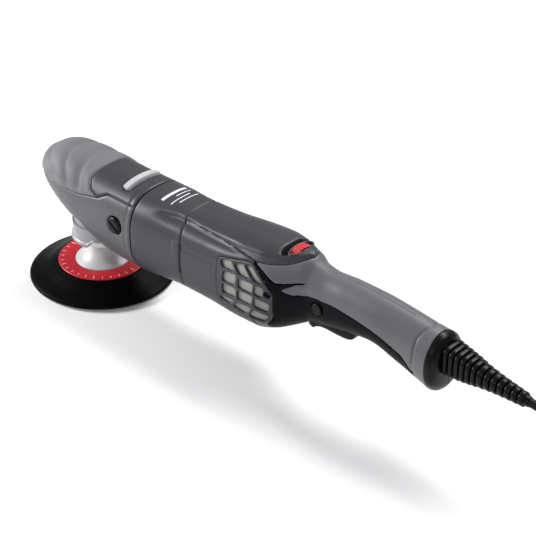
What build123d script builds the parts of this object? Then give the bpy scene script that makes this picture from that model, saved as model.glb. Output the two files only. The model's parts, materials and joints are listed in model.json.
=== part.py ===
"""Dual action polisher with a gear-driven (forced rotation) orbit.

Frame: the origin is the centre of the pad's hook face, +Z runs up the spindle away from the pad
and +X runs along the motor to the handle and the cord. The tool's left side faces -Y.
"""
import math
import os

from build123d import *

os.makedirs("parts", exist_ok=True)

# ---------------------------------------------------------------- driving dimensions (mm)
PLATE_R = 70.0            # 140 mm backing plate
ORBIT = 4.0               # eccentricity, an 8 mm stroke
MAIN_X = ORBIT            # the main spindle's axis stands one eccentricity behind the pad's axis
MOTOR_Z = 86.0            # height of the armature's axis
WALL = 2.8                # plastic wall
CASE_SKIN = 3.2           # depth of the aluminium gear case under the covers
CASE_WALL = 2.6
GAP = 0.3                 # air between bodies that pass each other
FIT = 0.03                # radial running clearance of shafts in bearings

FRONT_SEAM_X = 79.2       # head covers to the front motor housing
REAR_SEAM_X = 134.7       # front motor housing to the clamshell
TAIL_X = 404.0            # clamshell to the end cap
CAP_X = 414.0
BOOT_TIP = (494.0, 88.5)  # x and z of the boot's tip, where the cord leaves

RING_TEETH, PLANET_TEETH, ORBIT_MODULE = 48, 40, 1.0
CROWN_TEETH, PINION_TEETH, BEVEL_MODULE = 36, 12, 1.25

CORD_R = 3.8
COIL_CENTRE = (662.0, 34.0)
COIL_R = 46.0             # middle of the turns
COIL_COLUMNS, COIL_LAYERS = 3, 4

# The outer skin is a loft through sections across X:
# x, top z, bottom z, half width, z of the widest line, roundness above, roundness below
STATIONS = [
    (-62, 111, 100, 4, 106, 2.0, 2.0),
    (-58, 119, 94, 15, 106, 2.0, 2.0),
    (-50, 125, 86, 24, 105, 2.1, 2.0),
    (-35, 129.5, 74, 31, 102, 2.2, 2.0),
    (-15, 130.5, 62, 35, 98, 2.2, 2.1),
    (10, 129, 51, 36.5, 93, 2.3, 2.2),
    (40, 127, 43, 37.2, 89, 2.4, 2.3),
    (79.2, 126.1, 42, 37.2, 86, 2.6, 2.4),
    (110, 126.6, 45.5, 36, 86, 2.6, 2.5),
    (135, 126.6, 48, 35.5, 86, 2.6, 2.6),
    (165, 127.3, 47.5, 35.5, 86, 2.6, 2.6),
    (200, 129, 46, 36.5, 86, 2.7, 2.7),
    (225, 130.5, 46, 37, 87, 2.6, 2.6),
    (240, 131, 50, 34, 90, 2.5, 2.5),
    (252, 131.4, 56, 28, 94, 2.4, 2.4),
    (264, 131, 63, 22, 96, 2.3, 2.3),
    (275, 124.5, 68, 18.5, 97, 2.2, 2.2),
    (290, 122.2, 70, 18, 98, 2.1, 2.1),
    (310, 123.2, 74, 18.5, 100, 2.1, 2.1),
    (340, 122.4, 78, 19, 100, 2.1, 2.1),
    (370, 119.7, 70, 19.5, 95, 2.1, 2.1),
    (390, 117, 64, 21, 92, 2.0, 2.1),
    (404, 115.1, 60, 22.4, 89, 2.0, 2.1),
]
SECTION_POINTS = 20


# ---------------------------------------------------------------- helpers
def save(piece, name):
    """Label a finished piece and write it as one node."""
    piece.label = name
    export_step(piece, f"parts/{name}.step")


def superellipse(top, bottom, half, middle, above, below, inset):
    """Points round one section, drawn in by inset."""
    points = []
    for k in range(SECTION_POINTS):
        angle = 2 * math.pi * k / SECTION_POINTS
        c, s = math.cos(angle), math.sin(angle)
        power = 2 / (above if s >= 0 else below)
        rise = (top - middle if s >= 0 else middle - bottom) - inset
        y = (half - inset) * math.copysign(abs(c) ** power, c)
        z = middle + rise * math.copysign(abs(s) ** power, s)
        points.append((y, z))
    return points


def skin(inset, x_from=-100, x_to=500):
    """Solid loft of the outer skin between two stations, drawn in by inset."""
    with BuildPart() as body:
        for x, *shape in STATIONS:
            if x_from <= x <= x_to:
                with BuildSketch(Plane.YZ.offset(x)):
                    with BuildLine():
                        Spline(*superellipse(*shape, inset), periodic=True)
                    make_face()
        loft()
    return body.part


def side_region(points, y_from=-60.0, y_to=60.0):
    """Prism across Y over an outline of (x, z) points."""
    with BuildPart() as region:
        with BuildSketch(Plane.XZ.offset(-y_to)):
            with BuildLine():
                Polyline(*points, close=True)
            make_face()
        extrude(amount=y_to - y_from)
    return region.part


def rod(radius, x_from, x_to, y=0.0, z=MOTOR_Z, hole=0.0):
    """Round bar or tube along X."""
    with BuildPart() as bar:
        with BuildSketch(Plane.YZ.offset(x_from)):
            with Locations((y, z)):
                Circle(radius)
                if hole:
                    Circle(hole, mode=Mode.SUBTRACT)
        extrude(amount=x_to - x_from)
    return bar.part


def post(radius, z_from, z_to, x=MAIN_X, y=0.0, hole=0.0):
    """Round bar or tube along Z."""
    with BuildPart() as bar:
        with BuildSketch(Plane.XY.offset(z_from)):
            with Locations((x, y)):
                Circle(radius)
                if hole:
                    Circle(hole, mode=Mode.SUBTRACT)
        extrude(amount=z_to - z_from)
    return bar.part


def cross_pin(radius, x, z, y_from, y_to):
    """Round bar along Y."""
    with BuildPart() as bar:
        with BuildSketch(Plane.XZ.offset(-y_to)):
            with Locations((x, z)):
                Circle(radius)
        extrude(amount=y_to - y_from)
    return bar.part


def block(x, y, z):
    """Box between (low, high) pairs on each axis."""
    size = [high - low for low, high in (x, y, z)]
    middle = [(low + high) / 2 for low, high in (x, y, z)]
    with BuildPart() as box:
        with Locations(Location(middle)):
            Box(*size)
    return box.part


def join(*pieces):
    """One piece made of all of these."""
    with BuildPart() as whole:
        for piece in pieces:
            add(piece)
    return whole.part


def trim(base, *tools):
    """The base with the tools cut out of it."""
    with BuildPart() as rest:
        add(base)
        for tool in tools:
            add(tool, mode=Mode.SUBTRACT)
    return rest.part


def common(base, *zones):
    """What the base shares with every zone."""
    with BuildPart() as shared:
        add(base)
        for zone in zones:
            add(zone, mode=Mode.INTERSECT)
    return shared.part


def spun(piece, count, z=MOTOR_Z):
    """Copies of a piece spread evenly about the X axis at height z."""
    return [piece.rotate(Axis((0, 0, z), (1, 0, 0)), 360 / count * i) for i in range(count)]


def revolved(profile, x=0.0):
    """Solid of revolution about a Z axis at x from (radius, z) points."""
    with BuildPart() as turned:
        with BuildSketch(Plane.XZ):
            with BuildLine():
                Polyline(*[(x + radius, z) for radius, z in profile], close=True)
            make_face()
        revolve(axis=Axis((x, 0, 0), (0, 0, 1)))
    return turned.part


def tooth_ring(teeth, root_r, pitch_r, tip_r, root_w, pitch_w, tip_w, phase=0.0):
    """Closed outline of straight-flanked teeth; widths are measured along the circle."""
    points = []
    for i in range(teeth):
        centre = math.radians(phase) + 2 * math.pi * i / teeth
        flank = ((root_r, root_w), (pitch_r, pitch_w), (tip_r, tip_w))
        for radius, width in flank:
            points.append((radius, centre - width / 2 / radius))
        for radius, width in reversed(flank):
            points.append((radius, centre + width / 2 / radius))
    return [(r * math.cos(a), r * math.sin(a)) for r, a in points]


def halves(solid):
    """Left (-Y) and right (+Y) halves of a solid."""
    left = common(solid, block((-200, 600), (-100, 0), (-10, 200)))
    right = common(solid, block((-200, 600), (0, 100), (-10, 200)))
    return left, right


# ---------------------------------------------------------------- outer skins and regions
outer = skin(0)
inner = skin(WALL, x_from=-58)
wall = trim(outer, inner)

GRIP_EDGE = [(34, 110), (24, 114), (19, 121), (22, 129), (24, 140)]
grip_region = side_region([(-70, 101), (-30, 102.5), (9, 105)] + GRIP_EDGE + [(-70, 140)])
spine_region = side_region(
    GRIP_EDGE + [(FRONT_SEAM_X, 140), (FRONT_SEAM_X, 115.5), (55, 116.5), (41, 117)]
)
head_region = block((-70, FRONT_SEAM_X), (-60, 60), (20, 140))
front_region = side_region(
    [(FRONT_SEAM_X, 30), (140, 30), (141, 68), (141, 102), (139, 112), (REAR_SEAM_X, 123),
     (REAR_SEAM_X, 140), (FRONT_SEAM_X, 140)]
)
top_region = side_region(
    [(REAR_SEAM_X, 140), (REAR_SEAM_X, 121.5), (185, 121), (222, 118.5), (244, 121), (258, 125),
     (268, 129), (268, 140)]
)
inlay_region = side_region(
    [(246, 104), (262, 99), (273, 101), (301, 103), (329, 101), (356, 96), (378, 90), (388, 78),
     (392, 55), (392, 30), (236, 30), (243, 60), (249, 75)]
)
VENT_OUTLINE = [(187, 110), (221, 116), (246.5, 96), (245.5, 72), (240, 63.5), (187, 67.5)]
vent_region = side_region(VENT_OUTLINE)

# ---------------------------------------------------------------- head covers
PLUG_X, PLUG_Z, PLUG_R = 59.0, 92.0, 8.6
SHROUD_R, SHROUD_LIP_R = 29.5, 31.0
SHROUD_Z, SHROUD_TOP = 45.0, 64.0

BOSS_R, BOSS_TOP = 27.1, 70.0
head_wall = common(wall, head_region)
spindle_clearance = join(post(SHROUD_R + GAP, 30, SHROUD_TOP + GAP), post(BOSS_R + GAP, 30, BOSS_TOP + GAP))
plug_holes = cross_pin(PLUG_R + 0.1, PLUG_X, PLUG_Z, -60, 60)
covers = trim(head_wall, grip_region, spine_region, spindle_clearance, plug_holes)
cover_left, cover_right = halves(covers)
save(cover_left, "head_cover_left")
save(cover_right, "head_cover_right")
save(common(head_wall, grip_region), "head_grip")
save(common(head_wall, spine_region), "head_spine")

BAR_X, BAR_W, BAR_HALF, BAR_RISE = 59.0, 6.5, 20.0, 1.4
bar_zone = block((BAR_X - BAR_W / 2, BAR_X + BAR_W / 2), (-BAR_HALF, BAR_HALF), (110, 140))
save(common(trim(skin(-BAR_RISE, 40, 110), skin(0, 40, 110)), bar_zone), "head_trim_bar")

PLUG_OUT, PLUG_IN, PLUG_DOME = 37.6, 34.4, 1.4
plugs = []
for side in (-1, 1):
    with BuildPart() as plug:
        with BuildSketch(Plane.XZ.offset(-side * PLUG_IN)):
            with Locations((PLUG_X, PLUG_Z)):
                Circle(PLUG_R)
        extrude(amount=-side * (PLUG_OUT + PLUG_DOME - PLUG_IN))
        with BuildSketch(Plane.XZ.offset(-side * (PLUG_OUT + PLUG_DOME))):
            with Locations(Location((PLUG_X, PLUG_Z), 45)):
                Rectangle(2 * PLUG_R - 2, 2.2)
        extrude(amount=side * 2.2, mode=Mode.SUBTRACT)
    plugs.append(plug.part)
save(Compound(children=plugs), "side_plugs")

# ---------------------------------------------------------------- gear case and shroud
BEARING_Z, BEARING_W, BEARING_OUT, BEARING_IN = 54.5, 6.0, 23.5, 18.0
UPPER_Z, UPPER_W, UPPER_OUT, UPPER_IN = 99.0, 8.0, 15.0, 7.0
FRONT_BEARING = (44.0, 52.0, 13.0, 5.0)
REAR_BEARING = (200.0, 207.0, 11.0, 4.0)
CASE_BACK = 74.0

case_outer = skin(CASE_SKIN, x_from=-58)
case_inner = skin(CASE_SKIN + CASE_WALL, x_from=-58)
case_zone = block((-44, CASE_BACK), (-60, 60), (SHROUD_TOP, 140))
case_floor = common(case_outer, block((-44, CASE_BACK), (-60, 60), (SHROUD_TOP, SHROUD_TOP + 3)))
case_nose = common(case_outer, block((-44, -41), (-60, 60), (SHROUD_TOP, 140)))
case_roof = common(case_outer, post(30, UPPER_Z + UPPER_W, UPPER_Z + UPPER_W + 3))
case_back = common(case_outer, block((CASE_BACK - 4, CASE_BACK), (-60, 60), (SHROUD_TOP, 140)))
case_walls = common(trim(case_outer, case_inner), case_zone)
case_solid = join(
    case_walls, case_floor, case_nose, case_roof, case_back,
    post(BOSS_R, BEARING_Z - 1, BOSS_TOP),
    post(UPPER_OUT + 3, UPPER_Z, UPPER_Z + UPPER_W + 1),
    rod(FRONT_BEARING[2] + 3, FRONT_BEARING[0], CASE_BACK),
)
gear_case = trim(
    case_solid,
    post(BEARING_OUT, BEARING_Z - 2, BOSS_TOP + 1),
    post(UPPER_OUT, UPPER_Z - 1, UPPER_Z + UPPER_W),
    rod(FRONT_BEARING[2], FRONT_BEARING[0] - 1, FRONT_BEARING[1]),
    rod(FRONT_BEARING[2] - 3, FRONT_BEARING[1], CASE_BACK + 1),
)
save(gear_case, "gear_case")

RING_OUT = 27.0
SHROUD_BORE = RING_OUT + 0.2
shroud = join(post(SHROUD_R, SHROUD_Z, SHROUD_TOP - 0.2, hole=SHROUD_BORE),
              post(SHROUD_LIP_R, SHROUD_Z, SHROUD_Z + 4, hole=SHROUD_BORE))
open_side = side_region([(14, 40), (60, 40), (60, 52), (14, 52)])
save(trim(shroud, open_side), "spindle_shroud")


def bearing(make, inner_r, outer_r, low, high):
    """Shielded ball bearing as one closed ring with a shallow groove in each face."""
    middle, groove = (inner_r + outer_r) / 2, (outer_r - inner_r) * 0.28
    grooves = [
        make(middle + groove, start, end, hole=middle - groove)
        for start, end in ((low, low + 0.5), (high - 0.5, high))
    ]
    return trim(make(outer_r, low, high, hole=inner_r), *grooves)


main_bearings = [
    bearing(post, BEARING_IN + FIT, BEARING_OUT, BEARING_Z, BEARING_Z + BEARING_W),
    bearing(post, UPPER_IN + FIT, UPPER_OUT, UPPER_Z, UPPER_Z + UPPER_W),
]
save(Compound(children=main_bearings), "main_bearings")

# ---------------------------------------------------------------- orbit gears
GEAR_Z, GEAR_W = 45.6, 7.0
ring_pitch = ORBIT_MODULE * RING_TEETH / 2
planet_pitch = ORBIT_MODULE * PLANET_TEETH / 2
ring_space = tooth_ring(RING_TEETH, ring_pitch - 0.6, ring_pitch, ring_pitch + 0.85, 2.35, 1.95, 1.5, 180.0)
with BuildPart() as ring_gear:
    with BuildSketch(Plane.XY.offset(GEAR_Z)):
        with BuildLine():
            Polyline(*[(MAIN_X + u, v) for u, v in ring_space], close=True)
        make_face()
        with Locations((MAIN_X, 0)):
            Circle(RING_OUT, mode=Mode.INTERSECT)
    extrude(amount=GEAR_W)
ring_blank = post(RING_OUT, GEAR_Z, GEAR_Z + GEAR_W)
save(trim(ring_blank, ring_gear.part), "ring_gear")

HUB_TOP = 36.0
STUD_R, JOURNAL_R = 4.0, 6.0
with BuildPart() as planet_gear:
    with BuildSketch(Plane.XY.offset(GEAR_Z)):
        with BuildLine():
            Polyline(*tooth_ring(PLANET_TEETH, planet_pitch - 0.85, planet_pitch, planet_pitch + 0.55,
                                 1.7, 1.15, 0.75), close=True)
        make_face()
        Circle(8.0, mode=Mode.SUBTRACT)
    extrude(amount=GEAR_W)
save(planet_gear.part, "planet_gear")

# ---------------------------------------------------------------- pad, hub and output spindle
HOOK_T, RIM_TOP, RING_Z, HUB_R = 2.0, 5.6, 17.0, 26.0
save(post(PLATE_R - 1.0, 0, HOOK_T, x=0), "hook_layer")
save(revolved([(0, HOOK_T), (PLATE_R, HOOK_T), (PLATE_R, RIM_TOP), (66, 7.2), (56, 10.8), (47, 15.0),
               (43, RING_Z), (HUB_R, RING_Z), (HUB_R, 12), (0, 12)]), "backing_plate")
save(post(42.3, RING_Z, RING_Z + 1.2, x=0, hole=HUB_R + 0.1), "pad_ring")
save(revolved([(STUD_R, 12), (HUB_R, 12), (HUB_R, 18.6), (24.5, 19.4), (20, 22), (16, 26),
               (13, 31), (12, HUB_TOP), (STUD_R, HUB_TOP)]), "pad_hub")
save(post(STUD_R, 12, 56, x=0), "plate_stud")

CARRIER_Z, CUP_TOP, CARRIER_R = 54.0, 70.5, 18.0
with BuildPart() as pad_spindle:
    with BuildSketch(Plane.XY.offset(HUB_TOP)):
        RegularPolygon(9.8, 6)
    extrude(amount=5)
    with BuildSketch(Plane.XY.offset(HUB_TOP + 5)):
        Circle(9.5)
    extrude(amount=GEAR_Z - HUB_TOP - 5)
    with BuildSketch(Plane.XY.offset(GEAR_Z)):
        Circle(8.0)
    extrude(amount=GEAR_W + 1.0)
    with BuildSketch(Plane.XY.offset(GEAR_Z + GEAR_W + 1.0)):
        Circle(JOURNAL_R)
    extrude(amount=CUP_TOP - 1.0 - (GEAR_Z + GEAR_W + 1.0))
    with BuildSketch(Plane.XY.offset(HUB_TOP)):
        Circle(STUD_R)
    extrude(amount=56 - HUB_TOP, mode=Mode.SUBTRACT)
save(pad_spindle.part, "pad_spindle")

# ---------------------------------------------------------------- carrier: main spindle, weight, crown
JOURNAL_OUT = 12.0
cup = trim(post(CARRIER_R, CARRIER_Z, CUP_TOP + 1.5), post(JOURNAL_OUT, CARRIER_Z, CUP_TOP, x=0))
save(join(cup, post(9.0, CUP_TOP + 1.5, 88), post(UPPER_IN, 88, UPPER_Z + UPPER_W - 0.5)), "eccentric_carrier")


def pad_post(radius, low, high, hole):
    """Ring about the pad's own axis."""
    return post(radius, low, high, x=0, hole=hole)


pad_bearings = [bearing(pad_post, JOURNAL_R + FIT, JOURNAL_OUT, low, low + 6) for low in (55.0, 63.5)]
save(Compound(children=pad_bearings), "pad_bearings")

WEIGHT_R = 22.2
weight_ring = post(WEIGHT_R, 62, BOSS_TOP - 0.5, hole=CARRIER_R)
save(common(weight_ring, block((MAIN_X + 4, 60), (-40, 40), (60, 75))), "counterweight")

CROWN_R = BEVEL_MODULE * CROWN_TEETH / 2
PINION_R = BEVEL_MODULE * PINION_TEETH / 2
FACE = 0.70               # inner end of the teeth, as a fraction of the outer end
ADDENDUM, DEDENDUM = 0.95, 1.35
CROWN_PITCH_Z = MOTOR_Z - PINION_R
CROWN_BACK_Z = CUP_TOP + 1.5


def crown_tooth(angle):
    """One tooth, narrowing towards the cones' common point."""
    radial = Vector(math.cos(angle), math.sin(angle), 0)
    with BuildPart() as tooth:
        for scale in (1.0, FACE):
            centre = Vector(MAIN_X, 0, MOTOR_Z - PINION_R * scale) + radial * (CROWN_R * scale)
            across = Plane(origin=centre, x_dir=Vector(-radial.Y, radial.X, 0), z_dir=radial)
            with BuildSketch(across):
                with BuildLine():
                    Polyline((-1.15 * scale, -1.9 * scale), (1.15 * scale, -1.9 * scale),
                             (0.42 * scale, ADDENDUM * scale), (-0.42 * scale, ADDENDUM * scale),
                             close=True)
                make_face()
        loft(ruled=True)
    return tooth.part


root_out = CROWN_PITCH_Z - DEDENDUM
root_in = MOTOR_Z - PINION_R * FACE - DEDENDUM * FACE
crown = revolved([(9.0, CROWN_BACK_Z), (20.5, CROWN_BACK_Z), (CROWN_R + 0.6, 75.5),
                  (CROWN_R + 0.2, root_out), (CROWN_R * FACE - 0.2, root_in), (9.0, root_in)], MAIN_X)
crown_teeth = [crown_tooth(2 * math.pi * (i + 0.5) / CROWN_TEETH) for i in range(CROWN_TEETH)]
save(crown.fuse(*crown_teeth), "crown_gear")

# ---------------------------------------------------------------- armature
pinion_outline = tooth_ring(PINION_TEETH, PINION_R - DEDENDUM, PINION_R, PINION_R + ADDENDUM,
                            2.3, 1.5, 0.8, 90.0)
with BuildPart() as bevel_pinion:
    for scale in (1.0, FACE):
        with BuildSketch(Plane.YZ.offset(MAIN_X + CROWN_R * scale)):
            with BuildLine():
                Polyline(*[(u * scale, MOTOR_Z + v * scale) for u, v in pinion_outline], close=True)
            make_face()
    loft(ruled=True)
SHAFT_R, REAR_R = 5.0, 4.0
PINION_BACK = MAIN_X + CROWN_R
pinion = join(bevel_pinion.part, rod(7.0, PINION_BACK, FRONT_BEARING[0] - 1))
save(trim(pinion, rod(SHAFT_R - 1.5, 0, 60)), "bevel_pinion")

save(join(rod(SHAFT_R - 1.5, MAIN_X + CROWN_R * FACE, FRONT_BEARING[0] - 1),
          rod(SHAFT_R, FRONT_BEARING[0] - 1, 196), rod(REAR_R, 196, 209)), "armature_shaft")

FAN_X, FAN_R = 84.0, 29.5
blade = block((FAN_X + 1, FAN_X + 12), (8.5, FAN_R - 0.5), (MOTOR_Z - 0.6, MOTOR_Z + 0.6))
save(join(rod(9, FAN_X, FAN_X + 12, hole=SHAFT_R), rod(FAN_R, FAN_X, FAN_X + 1.6, hole=SHAFT_R),
          *spun(blade, 14)), "cooling_fan")

CORE_R, CORE_X = 20.8, (113.0, 159.0)
core_slot = block((CORE_X[0] - 1, CORE_X[1] + 1), (CORE_R - 4, CORE_R + 1), (MOTOR_Z - 0.9, MOTOR_Z + 0.9))
save(trim(rod(CORE_R, *CORE_X, hole=SHAFT_R), *spun(core_slot, 12)), "armature_core")
WINDING_R = 18.5
windings = []
for x_from, x_to in ((CORE_X[0] - 8, CORE_X[0]), (CORE_X[1], CORE_X[1] + 9)):
    with BuildPart() as winding:
        add(rod(WINDING_R, x_from, x_to, hole=SHAFT_R))
        fillet(winding.edges().filter_by(GeomType.CIRCLE).sort_by(SortBy.RADIUS)[-2:], 2.0)
    windings.append(winding.part)
save(Compound(children=windings), "armature_windings")

COMMUTATOR_R, COMMUTATOR_X = 13.0, (171.0, 189.0)
bar_slot = block((COMMUTATOR_X[0] + 2, COMMUTATOR_X[1] + 1), (COMMUTATOR_R - 1, COMMUTATOR_R + 1),
                 (MOTOR_Z - 0.25, MOTOR_Z + 0.25))
save(trim(rod(COMMUTATOR_R, *COMMUTATOR_X, hole=SHAFT_R), *spun(bar_slot, 24)), "commutator")

armature_bearings = [
    bearing(rod, r_in + FIT, r_out, low, high) for low, high, r_out, r_in in (FRONT_BEARING, REAR_BEARING)
]
save(Compound(children=armature_bearings), "armature_bearings")

# ---------------------------------------------------------------- field, brushes and bracket
FIELD_R, BORE_R, FIELD_X = 31.3, 21.7, (112.0, 160.0)
save(rod(FIELD_R, *FIELD_X, hole=BORE_R), "field_core")
coils = []
for x_from, x_to in ((FIELD_X[0] - 7, FIELD_X[0]), (FIELD_X[1], FIELD_X[1] + 8)):
    ring = rod(30.0, x_from, x_to, hole=22.5)
    for z_low, z_high in ((MOTOR_Z + 12, MOTOR_Z + 40), (MOTOR_Z - 40, MOTOR_Z - 12)):
        coils.append(common(ring, block((x_from, x_to), (-40, 40), (z_low, z_high))))
save(Compound(children=coils), "field_coils")

BAFFLE_X = (99.0, 101.5)
baffle = common(skin(WALL + GAP, x_from=-58), block(BAFFLE_X, (-60, 60), (20, 140)))
save(trim(baffle, rod(24.5, BAFFLE_X[0] - 1, BAFFLE_X[1] + 1)), "air_baffle")

FILTER_T, FILTER_GAP = 1.0, 0.15
filter_skin = skin(WALL + FILTER_GAP, x_from=-58)
filter_back = skin(WALL + FILTER_GAP + FILTER_T, x_from=-58)
BRACKET_X = 192.0
bracket_web = common(skin(WALL + FILTER_GAP + FILTER_T + GAP, x_from=-58),
                     block((BRACKET_X, BRACKET_X + 4), (-60, 60), (20, 140)))
bracket = trim(
    join(bracket_web, rod(REAR_BEARING[2] + 3, BRACKET_X, REAR_BEARING[1])),
    rod(REAR_BEARING[2], REAR_BEARING[0], REAR_BEARING[1] + 1),
    rod(SHAFT_R + 1.5, BRACKET_X - 1, REAR_BEARING[0] + 1),
    rod(7, BRACKET_X - 1, BRACKET_X + 5, z=62),
    rod(7, BRACKET_X - 1, BRACKET_X + 5, z=110),
)
save(bracket, "bearing_bracket")

holders, brushes = [], []
for side in (-1, 1):
    span = sorted((side * 15.0, side * 31.0))
    holder = block((174, BRACKET_X), span, (MOTOR_Z - 6, MOTOR_Z + 6))
    holders.append(trim(holder, block((176, 184), sorted((side * 14.0, side * 29.0)),
                                      (MOTOR_Z - 3.5, MOTOR_Z + 3.5))))
    brushes.append(block((176.1, 183.9), sorted((side * (COMMUTATOR_R + 0.3), side * 27.0)),
                         (MOTOR_Z - 3.4, MOTOR_Z + 3.4)))
save(Compound(children=holders), "brush_holders")
save(Compound(children=brushes), "carbon_brushes")

# ---------------------------------------------------------------- front motor housing
save(common(wall, front_region), "front_motor_housing")

# ---------------------------------------------------------------- clamshell, spine and inlay
DIAL_X, DIAL_Z, DIAL_R, DIAL_W = 252.0, 117.5, 16.2, 8.0
LOCK_X, LOCK_Z, LOCK_R = 286.0, 93.0, 5.5
SCREWS = [(335, 92), (368, 88)]
SCREW_R, HEAD_R, SCREW_BOSS_R = 1.9, 3.6, 5.0

rear_wall = common(wall, block((REAR_SEAM_X, TAIL_X), (-60, 60), (20, 140)))
dial_slot = block((DIAL_X - 5, DIAL_X + 5), (-16.6, 16.6), (110, 140))
save(trim(common(rear_wall, top_region), dial_slot), "motor_spine")

shell_zone = trim(rear_wall, front_region, top_region, inlay_region, vent_region, dial_slot)
left_shell, right_shell = halves(shell_zone)
left_parts, right_parts, head_bores = [left_shell], [right_shell], []
for x, z in SCREWS:
    screw_boss = trim(common(cross_pin(SCREW_BOSS_R, x, z, -25, 25), inner), cross_pin(SCREW_R, x, z, -30, 30))
    left_boss, right_boss = halves(screw_boss)
    left_parts.append(left_boss)
    right_parts.append(right_boss)
    head_bores.append(cross_pin(HEAD_R, x, z, -30, -10))
save(trim(join(*left_parts), *head_bores), "housing_left")
save(join(*right_parts), "housing_right")

TRIGGER_X = (264.0, 320.0)
TRIGGER_HALF = 8.0
PIVOT, PIN_R = (268.0, 80.0), 2.0
inlay = trim(
    common(rear_wall, inlay_region),
    block(TRIGGER_X, (-TRIGGER_HALF - 0.5, TRIGGER_HALF + 0.5), (40, 84)),
    cross_pin(LOCK_R + GAP, LOCK_X, LOCK_Z, -40, 0),
    cross_pin(PIN_R, *PIVOT, -16.4, 16.4),
)
save(inlay, "handle_inlay")

# ---------------------------------------------------------------- vent frames and filters
WINDOW_X = [(190.5, 203.5), (207.5, 222.5), (227, 241)]
WINDOW_Z = [(71, 78), (81.5, 89.5), (93, 101), (104, 110)]
windows = []
for i, (x_low, x_high) in enumerate(WINDOW_X):
    for j, (z_low, z_high) in enumerate(WINDOW_Z):
        if i < 2 or j < 2:
            windows.append(block((x_low, x_high), (-60, 60), (z_low, z_high)))
frame_zone = trim(common(wall, vent_region), *windows)
frame_left, frame_right = halves(frame_zone)
save(frame_left, "vent_frame_left")
save(frame_right, "vent_frame_right")
filter_zone = side_region([(189.5, 108), (219, 113), (243, 93), (242, 74), (238, 69), (189.5, 70)])
filters = common(trim(filter_skin, filter_back), filter_zone)
save(Compound(children=list(halves(filters))), "vent_filters")

# ---------------------------------------------------------------- speed dial, board and bezel
with BuildPart() as bezel:
    with BuildSketch(Plane.XY.offset(128)):
        with Locations((DIAL_X, 0)):
            Ellipse(16, 18)
            Rectangle(10, 28, mode=Mode.SUBTRACT)
    extrude(amount=4.6)
save(trim(bezel.part, outer), "dial_bezel")

POT_R = 3.0
notch = block((DIAL_X - 5, DIAL_X + 5), (DIAL_R - 0.6, DIAL_R + 1), (DIAL_Z - 0.5, DIAL_Z + 0.5))
wheel = trim(rod(DIAL_R, DIAL_X - DIAL_W / 2, DIAL_X + DIAL_W / 2, z=DIAL_Z), *spun(notch, 30, DIAL_Z))
save(join(wheel, rod(POT_R, 240, 262, z=DIAL_Z)), "speed_dial")

pot = trim(block((240, 246), (-8, 8), (107.6, 124)), rod(POT_R + 0.05, 239, 247, z=DIAL_Z))
capacitor = rod(4, 229, 238, y=7, z=111.2)
board = join(block((212, 246), (-14, 14), (106, 107.6)), pot, block((216, 226), (-11, 2), (107.6, 119)), capacitor)
save(board, "speed_board")

# ---------------------------------------------------------------- switch, trigger and lock button
save(block((276, 318), (-8.5, 8.5), (92.5, 112)), "trigger_switch")
with BuildPart() as trigger:
    with BuildSketch(Plane.XZ.offset(-TRIGGER_HALF)):
        with BuildLine():
            Polyline((265, 84), (265, 74), (267, 65), (272, 62.5), (277, 65.5), (300, 67), (316, 68.5),
                     (319, 72), (319, 84), (315, 87), (270, 87), close=True)
        make_face()
        with Locations(PIVOT):
            Circle(PIN_R + 0.05, mode=Mode.SUBTRACT)
    extrude(amount=2 * TRIGGER_HALF)
save(trigger.part, "trigger")
save(cross_pin(PIN_R, *PIVOT, -16.4, 16.4), "trigger_pin")

save(join(cross_pin(LOCK_R, LOCK_X, LOCK_Z, -19.6, -12.5),
          cross_pin(LOCK_R + 1.6, LOCK_X, LOCK_Z, -13.0, -11.6)), "lock_button")

screws = []
for x, z in SCREWS:
    screws.append(join(cross_pin(SCREW_R, x, z, -10, 11), cross_pin(HEAD_R - 0.1, x, z, -12.4, -10)))
save(Compound(children=screws), "housing_screws")

# ---------------------------------------------------------------- end cap, boot and clamp
CAP_STATIONS = [
    (TAIL_X, 115.1, 60, 22.4, 89, 2.0, 2.1),
    (408, 114.7, 61.0, 22.1, 89, 2.0, 2.1),
    (411.5, 113, 63.5, 20.6, 89, 2.0, 2.1),
    (CAP_X, 110, 67, 18.0, 89, 2.0, 2.1),
]


def cap_skin(inset, x_to):
    """Loft of the end cap's outside, drawn in by inset."""
    with BuildPart() as cap:
        for x, *shape in CAP_STATIONS:
            if x <= x_to:
                with BuildSketch(Plane.YZ.offset(x)):
                    with BuildLine():
                        Spline(*superellipse(*shape, inset), periodic=True)
                    make_face()
        loft()
    return cap.part


BOOT_Z = 95.5
BOOT_START, BOOT_W, BOOT_H = 408.0, 24.0, 25.0
cap = trim(
    cap_skin(0, CAP_X), cap_skin(WALL, 411.5),
    block((400, 430), (-BOOT_W / 2 - 0.1, BOOT_W / 2 + 0.1),
          (BOOT_Z - BOOT_H / 2 - 0.1, BOOT_Z + BOOT_H / 2 + 0.1)),
)
cap_left, cap_right = halves(cap)
save(cap_left, "end_cap_left")
save(cap_right, "end_cap_right")

BOOT_SECTIONS = [(BOOT_START, BOOT_W, BOOT_H), (430, 22.6, 23.6), (448, 20, 21), (470, 17, 17.2), (494, 12, 12)]
with BuildPart() as boot:
    for x, width, height in BOOT_SECTIONS:
        drop = BOOT_Z + (BOOT_TIP[1] - BOOT_Z) * (x - BOOT_START) / (BOOT_TIP[0] - BOOT_START)
        with BuildSketch(Plane.YZ.offset(x)):
            with Locations((0, drop)):
                RectangleRounded(width, height, min(width, height) / 2 - 0.3)
    loft(ruled=True)
SLEEVE_R = 6.0
save(join(boot.part, rod(SLEEVE_R, 384, BOOT_START + 1, z=BOOT_Z)), "cord_boot")
clamp_bar = block((388, 396), (-13, 13), (BOOT_Z + 1, BOOT_Z + 10))
save(trim(clamp_bar, rod(SLEEVE_R, 380, 400, z=BOOT_Z)), "cord_clamp")

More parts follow.
